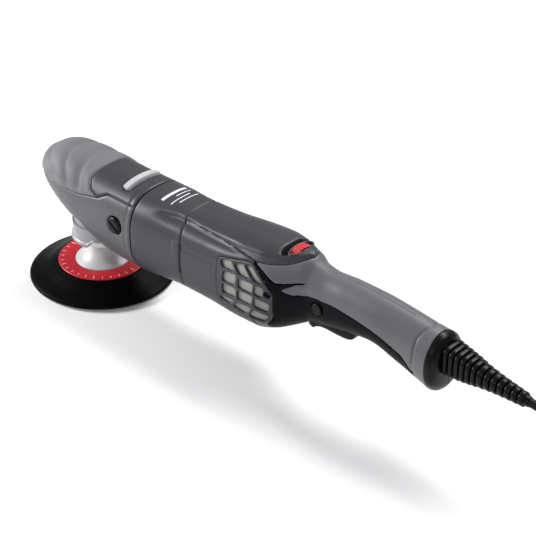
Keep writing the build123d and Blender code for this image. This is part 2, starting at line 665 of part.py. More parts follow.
# ---------------------------------------------------------------- cord, coil and plug
CORD_D = 2 * CORD_R
OUTER_TURN = COIL_R + CORD_D * (COIL_COLUMNS - 1) / 2
INNER_TURN = COIL_R - CORD_D * (COIL_COLUMNS - 1) / 2
COIL_TOP = CORD_D * COIL_LAYERS
coil_x, coil_y = COIL_CENTRE
PLUG_Y, PLUG_AXIS_Z = 95.0, 11.0

CORD_ROUTE = [
    (494, 0, 88.5), (524, 0, 86), (555, -2, 74), (580, -7, 52), (600, -13, 28), (625, -18, 8),
    (662, -19.6, 3.8),
]
LEAD_ROUTE = [
    (662, 87.6, 26.6), (638, 88.5, 25), (612, 91, 18), (588, 94, 12), (566, 95, 11),
]


def tube(route):
    """Round cord along straight runs joined by the largest tangent arcs that fit."""
    points = [Vector(*p) for p in route]
    radii = []
    for before, corner, after in zip(points, points[1:], points[2:]):
        run_in, run_out = corner - before, after - corner
        half_turn = math.radians(run_in.get_angle(run_out)) / 2
        radii.append(0.45 * min(run_in.length, run_out.length) / math.tan(half_turn))
    with BuildPart() as cord:
        with BuildLine() as path:
            FilletPolyline(*points, radius=radii)
        start = path.line @ 0
        with BuildSketch(Plane(origin=start, z_dir=path.line % 0)):
            Circle(CORD_R)
        sweep()
    length = path.wire().length
    print("radii", [round(r) for r in radii], "length", round(length, 1),
          "volume ratio", round(cord.part.volume / (math.pi * CORD_R**2 * length), 4))
    return cord.part


save(tube(CORD_ROUTE), "power_cord")
save(tube(LEAD_ROUTE), "plug_lead")
save(post(OUTER_TURN + CORD_R, 0, COIL_TOP, x=coil_x, y=coil_y, hole=INNER_TURN - CORD_R), "cord_coil")

PLUG_W, PLUG_H = 36.0, 22.0
with BuildPart() as plug_body:
    for x, width, height in ((566, 10, 10), (542, 15, 13), (530, 30, 21), (512, PLUG_W, PLUG_H),
                             (500, PLUG_W - 1, PLUG_H - 1)):
        with BuildSketch(Plane.YZ.offset(x)):
            with Locations((PLUG_Y, PLUG_AXIS_Z)):
                RectangleRounded(width, height, height * 0.42)
    loft(ruled=True)
save(plug_body.part, "plug_body")
PIN_SPACING, PIN_LENGTH, MAINS_PIN_R = 19.0, 19.0, 2.4
pins = [
    rod(MAINS_PIN_R, 500 - PIN_LENGTH, 500, y=PLUG_Y + side * PIN_SPACING / 2, z=PLUG_AXIS_Z)
    for side in (-1, 1)
]
save(Compound(children=pins), "plug_pins")
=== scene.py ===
"""Looks of the dual action polisher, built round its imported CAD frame.

Lengths inside this script are in millimetres, in the CAD's frame: origin at the centre of the pad's
hook face, +Z up the spindle, +X to the handle and cord, left side towards -Y. MM turns them to metres.
"""
import json
import math

import bpy
import numpy as np
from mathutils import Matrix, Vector

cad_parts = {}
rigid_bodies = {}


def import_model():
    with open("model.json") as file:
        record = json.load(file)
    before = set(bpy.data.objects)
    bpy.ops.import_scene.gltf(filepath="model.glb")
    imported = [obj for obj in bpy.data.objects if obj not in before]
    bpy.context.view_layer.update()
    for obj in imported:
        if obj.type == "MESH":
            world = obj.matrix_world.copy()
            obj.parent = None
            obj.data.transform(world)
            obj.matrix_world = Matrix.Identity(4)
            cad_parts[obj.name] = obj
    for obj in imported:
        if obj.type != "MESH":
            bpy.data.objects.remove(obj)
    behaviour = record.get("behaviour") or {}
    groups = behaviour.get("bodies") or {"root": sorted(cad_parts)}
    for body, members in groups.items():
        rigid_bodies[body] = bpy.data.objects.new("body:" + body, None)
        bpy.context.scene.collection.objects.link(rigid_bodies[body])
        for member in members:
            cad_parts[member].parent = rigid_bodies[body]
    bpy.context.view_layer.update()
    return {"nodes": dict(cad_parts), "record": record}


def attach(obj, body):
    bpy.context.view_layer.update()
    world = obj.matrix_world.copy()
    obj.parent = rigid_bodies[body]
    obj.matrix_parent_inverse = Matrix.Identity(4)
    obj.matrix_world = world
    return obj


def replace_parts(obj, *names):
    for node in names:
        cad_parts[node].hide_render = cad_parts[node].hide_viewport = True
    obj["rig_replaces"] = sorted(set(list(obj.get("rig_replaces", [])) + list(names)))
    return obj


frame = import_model()
MM = 0.001

# ------------------------------------------------------------------ camera, floor, lights
AZIMUTH, ELEVATION, DISTANCE = math.radians(42.5), math.radians(32.0), 1680.0
TARGET = Vector((194.4, 21.4, 76.9))
LENS, SENSOR = 127.2, 36.0
back = Vector((math.sin(AZIMUTH) * math.cos(ELEVATION), -math.cos(AZIMUTH) * math.cos(ELEVATION),
               math.sin(ELEVATION)))


def aim(obj, location, target):
    """Place an object at location (mm) with its -Z axis towards target (mm)."""
    obj.location = Vector(location) * MM
    obj.rotation_euler = (Vector(target) - Vector(location)).to_track_quat("-Z", "Y").to_euler()


camera_data = bpy.data.cameras.new("camera")
camera_data.lens = LENS
camera_data.sensor_width = SENSOR
camera = bpy.data.objects.new("camera", camera_data)
bpy.context.scene.collection.objects.link(camera)
aim(camera, TARGET + back * DISTANCE, TARGET)
bpy.context.scene.camera = camera
bpy.context.scene.view_settings.view_transform = "Standard"


def area_light(name, location, target, size, watts):
    """Soft rectangular lamp."""
    data = bpy.data.lights.new(name, "AREA")
    data.shape = "RECTANGLE"
    data.size, data.size_y = size[0] * MM, size[1] * MM
    data.energy = watts
    lamp = bpy.data.objects.new(name, data)
    bpy.context.scene.collection.objects.link(lamp)
    aim(lamp, location, target)


area_light("key_light", (-850, -550, 600), (100, 0, 80), (450, 350), 16)
area_light("rim_light", (350, 700, 1150), (220, 0, 80), (1200, 500), 19)
area_light("side_light", (500, -1000, 700), (250, 0, 80), (700, 300), 1.5)
world = bpy.data.worlds.new("studio")
world.use_nodes = True
world.node_tree.nodes["Background"].inputs["Color"].default_value = (0.95, 0.96, 1.0, 1)
world.node_tree.nodes["Background"].inputs["Strength"].default_value = 0.36
bpy.context.scene.world = world


# ------------------------------------------------------------------ materials
def material(name, color, rough, metallic=0.0, grain=1500.0, bump=0.12, vary=0.10, coat=0.0,
             stretch=(1, 1, 1), pattern="NOISE", sheen=0.0, specular=0.3):
    """Procedural finish: mottled colour, uneven gloss and a fine moulded or machined grain."""
    mat = bpy.data.materials.new(name)
    mat.use_nodes = True
    nodes, links = mat.node_tree.nodes, mat.node_tree.links
    shader = nodes["Principled BSDF"]
    place = nodes.new("ShaderNodeTexCoord")
    scale = nodes.new("ShaderNodeMapping")
    scale.inputs["Scale"].default_value = stretch
    links.new(place.outputs["Object"], scale.inputs["Vector"])

    mottle = nodes.new("ShaderNodeTexNoise")
    mottle.inputs["Scale"].default_value = 22.0
    mottle.inputs["Detail"].default_value = 4.0
    links.new(scale.outputs["Vector"], mottle.inputs["Vector"])
    shades = nodes.new("ShaderNodeValToRGB")
    shades.color_ramp.elements[0].position = 0.3
    shades.color_ramp.elements[1].position = 0.7
    for element, factor in zip(shades.color_ramp.elements, (1 - vary, 1 + vary)):
        element.color = [min(1.0, c * factor) for c in color] + [1]
    links.new(mottle.outputs["Fac"], shades.inputs["Fac"])
    links.new(shades.outputs["Color"], shader.inputs["Base Color"])

    smudge = nodes.new("ShaderNodeTexNoise")
    smudge.inputs["Scale"].default_value = 55.0
    smudge.inputs["Detail"].default_value = 6.0
    links.new(scale.outputs["Vector"], smudge.inputs["Vector"])
    gloss = nodes.new("ShaderNodeMapRange")
    gloss.inputs["To Min"].default_value = max(0.03, rough - 0.07)
    gloss.inputs["To Max"].default_value = min(1.0, rough + 0.07)
    links.new(smudge.outputs["Fac"], gloss.inputs["Value"])
    links.new(gloss.outputs["Result"], shader.inputs["Roughness"])

    if pattern == "VORONOI":
        fine = nodes.new("ShaderNodeTexVoronoi")
        height = fine.outputs["Distance"]
    else:
        fine = nodes.new("ShaderNodeTexNoise")
        fine.inputs["Detail"].default_value = 3.0
        height = fine.outputs["Fac"]
    fine.inputs["Scale"].default_value = grain
    links.new(scale.outputs["Vector"], fine.inputs["Vector"])
    relief = nodes.new("ShaderNodeBump")
    relief.inputs["Strength"].default_value = bump
    relief.inputs["Distance"].default_value = 0.00025
    links.new(height, relief.inputs["Height"])
    links.new(relief.outputs["Normal"], shader.inputs["Normal"])

    shader.inputs["Metallic"].default_value = metallic
    shader.inputs["Coat Weight"].default_value = coat
    shader.inputs["Sheen Weight"].default_value = sheen
    shader.inputs["Specular IOR Level"].default_value = specular
    return mat


def woven(name, thread, hole, pitch):
    """Fine woven filter cloth: threads along X and Z, about a pitch (mm) apart."""
    mat = material(name, thread, 0.6, bump=0.05)
    nodes, links = mat.node_tree.nodes, mat.node_tree.links
    shader = nodes["Principled BSDF"]
    place = nodes.new("ShaderNodeTexCoord")
    heights = []
    for direction in ("X", "Z"):
        wave = nodes.new("ShaderNodeTexWave")
        wave.bands_direction = direction
        wave.inputs["Scale"].default_value = 1 / (pitch * MM) / 3.14     # bands lie about 0.314 / scale apart
        links.new(place.outputs["Object"], wave.inputs["Vector"])
        heights.append(wave.outputs["Fac"])
    top = nodes.new("ShaderNodeMath")
    top.operation = "MAXIMUM"
    links.new(heights[0], top.inputs[0])
    links.new(heights[1], top.inputs[1])
    ramp = nodes.new("ShaderNodeValToRGB")
    ramp.color_ramp.elements[0].position = 0.35
    ramp.color_ramp.elements[0].color = list(hole) + [1]
    ramp.color_ramp.elements[1].position = 0.75
    ramp.color_ramp.elements[1].color = list(thread) + [1]
    links.new(top.outputs["Value"], ramp.inputs["Fac"])
    links.new(ramp.outputs["Color"], shader.inputs["Base Color"])
    relief = nodes.new("ShaderNodeBump")
    relief.inputs["Strength"].default_value = 0.6
    relief.inputs["Distance"].default_value = 0.0002
    links.new(top.outputs["Value"], relief.inputs["Height"])
    links.new(relief.outputs["Normal"], shader.inputs["Normal"])
    return mat


FINISH = {
    "grey_cover": material("grey_cover", (0.084, 0.084, 0.092), 0.40, grain=1400, bump=0.10),
    "dark_cover": material("dark_cover", (0.034, 0.034, 0.041), 0.42, grain=1400, bump=0.14,
                           specular=0.38),
    "soft_grip": material("soft_grip", (0.138, 0.138, 0.145), 0.55, grain=1100, bump=0.10, sheen=0.05),
    "bright_trim": material("bright_trim", (0.42, 0.42, 0.43), 0.45),
    "black_plastic": material("black_plastic", (0.0030, 0.0030, 0.0038), 0.30, bump=0.14, specular=0.16),
    "red_plastic": material("red_plastic", (0.55, 0.035, 0.035), 0.32, bump=0.04, vary=0.05, coat=0.2),
    "cast_alloy": material("cast_alloy", (0.30, 0.30, 0.31), 0.42, metallic=0.2, grain=900, bump=0.12),
    "steel": material("steel", (0.5, 0.5, 0.52), 0.28, metallic=1.0, stretch=(1, 8, 8), bump=0.06),
    "lamination": material("lamination", (0.12, 0.12, 0.13), 0.4, metallic=1.0, stretch=(12, 1, 1), bump=0.3),
    "copper": material("copper", (0.55, 0.2, 0.08), 0.3, metallic=1.0, grain=700, bump=0.3),
    "carbon": material("carbon", (0.02, 0.02, 0.02), 0.6, grain=2500, bump=0.2),
    "board": material("board", (0.02, 0.12, 0.05), 0.35, coat=0.4),
    "filter_mesh": woven("filter_mesh", (0.36, 0.345, 0.32), (0.11, 0.106, 0.10), 0.9),
    "white_hub": material("white_hub", (0.55, 0.55, 0.56), 0.42, metallic=0.1, grain=1200, bump=0.06,
                          vary=0.03),
    "red_ring": material("red_ring", (0.50, 0.010, 0.020), 0.38, bump=0.03, vary=0.06, coat=0.15),
    "black_foam": material("black_foam", (0.0014, 0.0014, 0.002), 0.42, grain=600, bump=0.10, specular=0.045),
    "hook_fabric": material("hook_fabric", (0.30, 0.30, 0.31), 0.85, grain=900, bump=0.7, pattern="VORONOI",
                            sheen=0.3),
    "cord_rubber": material("cord_rubber", (0.006, 0.006, 0.007), 0.42, grain=1000, bump=0.08, specular=0.15),
    "pin_brass": material("pin_brass", (0.62, 0.52, 0.30), 0.22, metallic=1.0, bump=0.03),
}
# own grey of the clamshell moulding, used on its handle half; the motor half of the same clamshell is given
# the darker dark_cover as painted shade
clamshell_grey = material("clamshell_grey", (0.118, 0.118, 0.126), 0.42, grain=1400, bump=0.16)
inlay_black = material("inlay_black", (0.0035, 0.0035, 0.005), 0.50, grain=1200, bump=0.14, specular=0.06)
print_white = material("print_white", (0.75, 0.75, 0.75), 0.45, bump=0.03, vary=0.02)

floor_mesh = bpy.data.meshes.new("floor")
HALF_FLOOR = 3.0
floor_mesh.from_pydata([(-HALF_FLOOR, -HALF_FLOOR, 0), (HALF_FLOOR, -HALF_FLOOR, 0),
                        (HALF_FLOOR, HALF_FLOOR, 0), (-HALF_FLOOR, HALF_FLOOR, 0)], [], [(0, 1, 2, 3)])
floor = bpy.data.objects.new("floor", floor_mesh)
floor_mesh.materials.append(material("floor_white", (0.93, 0.93, 0.93), 0.9, bump=0.0, vary=0.005))
bpy.context.scene.collection.objects.link(floor)


# ------------------------------------------------------------------ making objects
def piece(name, points, faces, slot, body, nodes=(), mat=None, smooth_angle=40, bevel=0.0, segments=3):
    """Mesh object from points in mm, riding on a body and standing for CAD nodes."""
    mesh = bpy.data.meshes.new(name)
    mesh.from_pydata([tuple(p) for p in np.asarray(points, float) * MM], [], [tuple(f) for f in faces])
    mesh.validate()
    mesh.shade_smooth()
    mesh.set_sharp_from_angle(angle=math.radians(smooth_angle))
    mesh.materials.append(mat or FINISH[slot])
    obj = bpy.data.objects.new(name, mesh)
    bpy.context.scene.collection.objects.link(obj)
    if bevel:
        rounding = obj.modifiers.new("rounding", "BEVEL")
        rounding.width = bevel * MM
        rounding.segments = segments
        rounding.limit_method = "ANGLE"
        rounding.angle_limit = math.radians(35)
        rounding.harden_normals = True
    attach(obj, body)
    if nodes:
        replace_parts(obj, *nodes)
    return obj


def ring_faces(rows, columns, wrap=True, caps=False):
    """Quads over rows of columns points, with optional end faces."""
    faces = []
    last = columns if wrap else columns - 1
    for i in range(rows - 1):
        for j in range(last):
            k = (j + 1) % columns
            faces.append((i * columns + j, i * columns + k, (i + 1) * columns + k, (i + 1) * columns + j))
    if caps:
        faces.append(tuple(range(columns))[::-1])
        faces.append(tuple((rows - 1) * columns + j for j in range(columns)))
    return faces


def closing_faces(rows, columns):
    """Quads from the last row back to the first."""
    last = (rows - 1) * columns
    return [(last + j, last + (j + 1) % columns, (j + 1) % columns, j) for j in range(columns)]


def rounded_profile(corners, steps=5):
    """(r, z, radius) corners to a chain of points with round corners."""
    chain = []
    count = len(corners)
    for k, (r, z, radius) in enumerate(corners):
        here = np.array((r, z), float)
        if radius <= 0 or k in (0, count - 1):
            chain.append(here)
            continue
        into = np.array(corners[k - 1][:2], float) - here
        away = np.array(corners[k + 1][:2], float) - here
        reach = min(radius, 0.45 * np.linalg.norm(into), 0.45 * np.linalg.norm(away))
        start = here + into / np.linalg.norm(into) * reach
        end = here + away / np.linalg.norm(away) * reach
        for t in np.linspace(0, 1, steps):
            chain.append((1 - t) ** 2 * start + 2 * t * (1 - t) * here + t * t * end)
    return chain


def lathe(corners, segments=128, centre=(0, 0), axis="Z", wave=None, steps=5):
    """Points and faces of a closed turned solid; wave(angle, r, z) may change the radius."""
    chain = rounded_profile(corners, steps)
    angles = np.linspace(0, 2 * np.pi, segments, endpoint=False)
    points = []
    for r, z in chain:
        for a in angles:
            radius = r if wave is None else wave(a, r, z)
            u, v = radius * math.cos(a), radius * math.sin(a)
            if axis == "Z":
                points.append((centre[0] + u, centre[1] + v, z))
            else:
                points.append((z, centre[0] + u, centre[1] + v))
    return points, ring_faces(len(chain), segments, caps=True)


# ------------------------------------------------------------------ the outer skin as a grid
STATIONS = np.array([
    (-63, 106.8, 105.2, 0.8, 106, 2.0, 2.0),
    (-62, 111, 100, 5, 106, 2.0, 2.0),
    (-58, 119, 94, 15, 106, 2.0, 2.0),
    (-50, 125, 86, 24, 105, 2.1, 2.0),
    (-35, 129.5, 74, 31, 102, 2.2, 2.0),
    (-15, 130.5, 62, 35, 98, 2.2, 2.1),
    (10, 129, 51, 36.5, 93, 2.3, 2.2),
    (40, 127, 43, 37.2, 89, 2.4, 2.3),
    (79.2, 126.1, 42, 37.2, 86, 2.6, 2.4),
    (110, 126.6, 45.5, 36, 86, 2.6, 2.5),
    (135, 126.6, 48, 35.5, 86, 2.6, 2.6),
    (165, 127.3, 47.5, 35.5, 86, 2.6, 2.6),
    (200, 129, 46, 36.5, 86, 2.7, 2.7),
    (225, 130.5, 46, 37, 87, 2.6, 2.6),
    (240, 131, 50, 34, 90, 2.5, 2.5),
    (252, 131.4, 56, 28, 94, 2.4, 2.4),
    (264, 131, 63, 22, 96, 2.3, 2.3),
    (275, 124.5, 68, 18.5, 97, 2.2, 2.2),
    (290, 122.2, 70, 18, 98, 2.1, 2.1),
    (310, 123.2, 74, 18.5, 100, 2.1, 2.1),
    (340, 122.4, 78, 19, 100, 2.1, 2.1),
    (370, 119.7, 70, 19.5, 95, 2.1, 2.1),
    (390, 117, 64, 21, 92, 2.0, 2.1),
    (404, 115.1, 60, 22.4, 89, 2.0, 2.1),
])


def monotone(knots, values):
    """Smooth curve through the values that never overshoots them."""
    knots, values = np.asarray(knots, float), np.asarray(values, float)
    step, rise = np.diff(knots), np.diff(values)
    secant = rise / step
    slope = np.zeros_like(values)
    slope[0], slope[-1] = secant[0], secant[-1]
    for k in range(1, len(values) - 1):
        if secant[k - 1] * secant[k] > 0:
            w1, w2 = 2 * step[k] + step[k - 1], step[k] + 2 * step[k - 1]
            slope[k] = (w1 + w2) / (w1 / secant[k - 1] + w2 / secant[k])

    def evaluate(x):
        x = np.clip(np.asarray(x, float), knots[0], knots[-1])
        k = np.clip(np.searchsorted(knots, x) - 1, 0, len(knots) - 2)
        t = (x - knots[k]) / step[k]
        return (values[k] * (1 + 2 * t) * (1 - t) ** 2 + slope[k] * step[k] * t * (1 - t) ** 2
                + values[k + 1] * t * t * (3 - 2 * t) + slope[k + 1] * step[k] * t * t * (t - 1))
    return evaluate


SHAPE = [monotone(STATIONS[:, 0], STATIONS[:, k]) for k in range(1, 7)]
FINE_ANGLES = np.linspace(np.pi / 2, -np.pi / 2, 361)


def half_section(x):
    """Points (y, z) of the left half of a section from top to bottom, and their arc lengths."""
    top, bottom, half, middle, above, below = [float(f(x)) for f in SHAPE]
    c, s = np.abs(np.cos(FINE_ANGLES)), np.sin(FINE_ANGLES)
    power = 2 / np.where(s >= 0, above, below)
    rise = np.where(s >= 0, top - middle, middle - bottom)
    y = -half * c ** power
    z = middle + rise * np.sign(s) * np.abs(s) ** power
    arc = np.concatenate([[0], np.cumsum(np.hypot(np.diff(y), np.diff(z)))])
    return y, z, arc


def arc_at(x, y, z):
    """Arc length from the top centre line to the skin point nearest (y, z) at x."""
    ys, zs, arc = half_section(x)
    return float(arc[np.argmin((ys + abs(y)) ** 2 + (zs - z) ** 2)])


NOSE_X, TAIL_X, STEP = -63.0, 404.0, 1.25
xs = np.concatenate([NOSE_X + np.linspace(0, 1, 26) ** 2 * 15, np.arange(-48 + STEP, TAIL_X, STEP), [TAIL_X]])
HALF_COLUMNS = 96
COLUMNS = 2 * HALF_COLUMNS + 1
SKIN = np.zeros((len(xs), COLUMNS, 3))
ARC = np.zeros((len(xs), COLUMNS))
for i, x in enumerate(xs):
    y, z, arc = half_section(x)
    at = np.linspace(0, arc[-1], HALF_COLUMNS + 1)
    y, z = np.interp(at, arc, y), np.interp(at, arc, z)
    y[0] = y[-1] = 0.0
    SKIN[i, :, 0] = x
    SKIN[i, HALF_COLUMNS:, 1], SKIN[i, HALF_COLUMNS:, 2], ARC[i, HALF_COLUMNS:] = y, z, at
    SKIN[i, :HALF_COLUMNS + 1, 1] = -y[::-1]
    SKIN[i, :HALF_COLUMNS + 1, 2] = z[::-1]
    ARC[i, :HALF_COLUMNS + 1] = -at[::-1]
XG = np.repeat(xs[:, None], COLUMNS, 1)
AG = np.abs(ARC)
FULL = np.repeat(AG[:, :1], COLUMNS, 1)          # half perimeter at each x


def grid_normals(grid):
    """Unit outward normals of a grid of points."""
    along = np.gradient(grid, axis=0)
    padded = np.concatenate([grid[:, -2:-1], grid, grid[:, 1:2]], axis=1)
    around = (padded[:, 2:] - padded[:, :-2]) / 2
    normal = np.cross(along, around)
    normal /= np.linalg.norm(normal, axis=2, keepdims=True) + 1e-12
    centre = grid.mean(axis=1, keepdims=True)
    flip = np.sign(((grid - centre) * normal).sum(axis=2, keepdims=True))
    return normal * np.where(flip == 0, 1, flip)


def ease(t):
    """Smooth step from 0 to 1."""
    t = np.clip(t, 0, 1)
    return t * t * (3 - 2 * t)


def outline(points):
    """Skin outline from (x, y, z) points, or (x, arc) points beyond the centre lines."""
    return [(p[0], p[1]) if len(p) == 2 else (p[0], arc_at(*p)) for p in points]


def smooth_outline(points, closed=True, steps=6):
    """Catmull-Rom curve through (x, arc) points."""
    p = np.array(points, float)
    count = len(p)
    out = []
    for k in range(count if closed else count - 1):
        if closed:
            a, b, c, d = p[(k - 1) % count], p[k], p[(k + 1) % count], p[(k + 2) % count]
        else:
            a, b, c, d = p[max(k - 1, 0)], p[k], p[k + 1], p[min(k + 2, count - 1)]
        for t in np.linspace(0, 1, steps, endpoint=False):
            out.append(0.5 * (2 * b + (c - a) * t + (2 * a - 5 * b + 4 * c - d) * t * t
                              + (3 * b - a - 3 * c + d) * t ** 3))
    if not closed:
        out.append(p[-1])
    return np.array(out)


def rounded_outline(points, radius, steps=4):
    """Closed polygon with round corners."""
    p = np.array(points, float)
    out = []
    for k in range(len(p)):
        into, away = p[k - 1] - p[k], p[(k + 1) % len(p)] - p[k]
        reach = min(radius, 0.4 * np.linalg.norm(into), 0.4 * np.linalg.norm(away))
        start, end = p[k] + into / np.linalg.norm(into) * reach, p[k] + away / np.linalg.norm(away) * reach
        for t in np.linspace(0, 1, steps):
            out.append((1 - t) ** 2 * start + 2 * t * (1 - t) * p[k] + t * t * end)
    return np.array(out)


def distance(curve, x, a, closed=True):
    """Distance from grid points to a curve; inside a closed one it is positive, outside negative."""
    shape = x.shape
    px, pa = x.ravel(), a.ravel()
    best = np.full(px.shape, 1e9)
    inside = np.zeros(px.shape, bool)
    count = len(curve)
    for k in range(count if closed else count - 1):
        (x0, a0), (x1, a1) = curve[k], curve[(k + 1) % count]
        dx, da = x1 - x0, a1 - a0
        t = np.clip(((px - x0) * dx + (pa - a0) * da) / (dx * dx + da * da + 1e-12), 0, 1)
        best = np.minimum(best, np.hypot(px - x0 - t * dx, pa - a0 - t * da))
        if closed and da != 0:
            crosses = ((a0 > pa) != (a1 > pa)) & (px < dx * (pa - a0) / da + x0)
            inside ^= crosses
    if closed:
        best = np.where(inside, best, -best)
    return best.reshape(shape)


# ------------------------------------------------------------------ regions and relief of the skin
FRONT_SEAM_X, REAR_SEAM_X = 79.2, 134.7
COVER_GAP = 0.9
PLUG_X, PLUG_Z = 59, 92
LOCK_X, LOCK_Z = 286, 93

GRIP_EDGE = outline([(34, -34, 110), (24, -32.5, 114), (19, -26, 121), (20, -14, 127), (21, -3, 128.5),
                     (21, 0, 129)])
GRIP_LOW = outline([(-63, -0.5, 101), (-55, -18, 101), (-30, -32, 103), (-13, -35, 103), (9, -36, 105)])
SPINE_LOW = outline([(34, -34, 110), (44, -31, 116.5), (55, -30.5, 116.5), (69, -30, 115.5),
                     (FRONT_SEAM_X, -30, 115.5)])
REAR_SEAM = outline([(REAR_SEAM_X, 0, 126.6), (REAR_SEAM_X, -19, 123), (138.5, -31, 112), (141, -34.5, 102),
                     (141, -35.5, 78)])
SEAM_LOW = [(140, float(FULL[np.searchsorted(xs, 140), 0]) - 12),
            (136, float(FULL[np.searchsorted(xs, 136), 0]) + 3)]
SCOOP_UPPER = outline([(96, -28, 117), (109, -23, 121.5), (125, -20, 123), (135, -20, 123),
                       (185, -23.5, 122.3), (222, -27, 121.5)])
SCOOP_LOWER = outline([(96, -28.5, 116.5), (108, -30.5, 113), (123, -31.5, 112), (138, -31.5, 111),
                       (180, -32, 113), (192, -31.5, 114.5), (222, -28.5, 119.5)])
STEP_EDGE = outline([(150, -24, 122), (171, -22, 123.2), (190, -23, 123.5), (208, -24, 124),
                     (228, -23.5, 125.2),
                     (242, -19, 127.2), (252, -16, 128), (262, -9, 129.5), (268, 0, 130.5)])
VENT = outline([(186, -34, 111), (206, -33, 115.5), (223, -30, 119), (236, -31.5, 110), (247.5, -30, 96),
                (246.5, -30, 71), (240, -29, 61.5), (187, -32, 67)])
INLAY = outline([(225.5, -29, 119.5), (232, -30.3, 117), (238, -31, 114), (244, -30.8, 110),
                 (248.5, -29.5, 107),
                 (256, -26, 107.8), (265, -20, 110), (275, -16, 112.4), (268, -20, 109.4), (261, -23, 106.4),
                 (252.5, -27, 101.2), (258, -24.5, 98.5), (264, -22, 98), (275, -18, 101), (286, -18, 102.3),
                 (301, -18.5, 103), (329, -19, 101), (356, -19.3, 96), (378, -20, 89), (384, -20, 84),
                 (389, -20, 76), (391, -18, 66)])
INLAY += [(391, 200.0), (232, 200.0)] + outline([(238, -28, 60), (241, -29, 62), (247.2, -29, 71),
                                                 (248, -29, 84)])
INLAY += outline([(248.3, -30, 96), (243, -30.6, 103), (236.8, -31.5, 110.4), (224, -30, 119.4)])
TAIL_GROOVE = outline([(389.5, -19, 66), (390, -20.5, 80), (391, -21, 96), (390.5, -16, 108),
                       (393, -8, 115.5), (396, 0, 116.5)])
DIAL_LENS = [(241.0, 17.0), (247.0, 16.4), (253.0, 12.5), (257.6, 6.5), (259.0, 0.0)]

FAR = 400.0
grip_polygon = np.array(GRIP_LOW + GRIP_EDGE + [(21, -FAR), (-80, -FAR), (-80, GRIP_LOW[0][1])])
spine_polygon = np.array(SPINE_LOW + [(FRONT_SEAM_X, -FAR), (21, -FAR)] + GRIP_EDGE[::-1])
rear_polygon = np.array([(REAR_SEAM[0][0], -FAR)] + REAR_SEAM + SEAM_LOW
                        + [(136, FAR), (-90, FAR), (-90, -FAR)])
step_polygon = np.array(STEP_EDGE + [(268, -FAR), (150, -FAR)])
scoop_polygon = np.array(SCOOP_UPPER + SCOOP_LOWER[::-1])
vent_curve = rounded_outline(VENT, 4)
inlay_curve = np.array(INLAY)
lens_polygon = np.array(DIAL_LENS + [(259.0, -FAR), (240.0, -FAR), (240.0, 17.0)])

in_grip = distance(grip_polygon, XG, AG)
in_spine = distance(spine_polygon, XG, AG)
before_rear = distance(rear_polygon, XG, AG)
in_vent = distance(vent_curve, XG, AG)
in_inlay = distance(inlay_curve, XG, AG)
in_step = distance(step_polygon, XG, AG)
in_lens = distance(lens_polygon, XG, AG)

relief = np.zeros_like(XG)
# soft finger grooves pressed over the nose grip, fading out at its lower edge
over_grip = ease(in_grip / 9)
for start, bow in ((-50, 0.0165), (-24, 0.011), (0, 0.006)):
    off = XG - (start + bow * AG ** 2)
    relief -= over_grip * 2.1 * np.exp(-(off / np.where(off < 0, 6.0, 1.5)) ** 2)
relief += ease(in_grip / 3)
# side scoops: a sharp upper edge, deepest just below it, running out downwards
up_edge = distance(np.array(SCOOP_UPPER), XG, AG, closed=False)
low_edge = distance(np.array(SCOOP_LOWER), XG, AG, closed=False)
within = distance(scoop_polygon, XG, AG) > 0
fade = ease((XG - 96) / 22) * ease((222 - XG) / 34)
scoop = np.where(within, 3.2 * fade * ease(up_edge / 2.2) * ease(low_edge / (up_edge + low_edge + 1e-6)), 0)
for _ in range(3):
    scoop[1:-1, 1:-1] = (scoop[:-2, 1:-1] + scoop[2:, 1:-1] + scoop[1:-1, :-2] + scoop[1:-1, 2:]
                         + 2 * scoop[1:-1, 1:-1]) / 6
relief -= scoop
# raised spine cover over the motor, highest beside the dial
relief += np.where(XG > REAR_SEAM_X, 1.6 * ease(in_step / 1.4 + 0.5) * ease((XG - 150) / 70), 0)
# collar in front of the front seam, creased spine on the head
relief -= 0.9 * np.exp(-((XG - 72.6) / 0.7) ** 2) * ease((AG - 2) / 3)
relief -= 0.35 * np.exp(-(distance(np.array(SPINE_LOW), XG, AG, closed=False) / 0.8) ** 2) * (XG < 79)
# flat side panel creases on the motor
for crease in (outline([(142, -35, 77.5), (184, -36, 76)]), outline([(142, -35.5, 101), (185, -36, 102)])):
    relief -= 0.7 * np.exp(-(distance(np.array(crease), XG, AG, closed=False) / 1.0) ** 2)
tab = distance(rounded_outline(outline([(131.5, -33, 104), (139.5, -33, 104), (140.5, -35, 75),
                                        (131.5, -35, 75)]), 2), XG, AG)
relief += 0.8 * ease(tab / 0.8 + 0.5)
# tail groove and the dial's lens-shaped recess
relief -= 1.0 * np.exp(-(distance(np.array(TAIL_GROOVE), XG, AG, closed=False) / 0.8) ** 2)
relief -= 0.5 * ease(in_lens / 1.6 + 0.3) * (XG > 238) * (AG < 20)
# parting lines along the top of the rear cover and of the handle
on_top = (XG > REAR_SEAM_X) & ((XG < 240) | (XG > 262))
relief -= np.where(on_top, 0.45 * np.exp(-(AG / 0.5) ** 2), 0)
NORMALS = grid_normals(SKIN)
SURFACE = SKIN + NORMALS * relief[..., None]
NORMALS = grid_normals(SURFACE)

# the open throat over the shroud: the skin is cut away where the shroud comes out
THROAT_X, THROAT_R = 4.0, 32.5
throat = np.hypot(XG - THROAT_X, SKIN[..., 1]) - THROAT_R
throat = np.where(SKIN[..., 2] < 75, throat, 50.0)


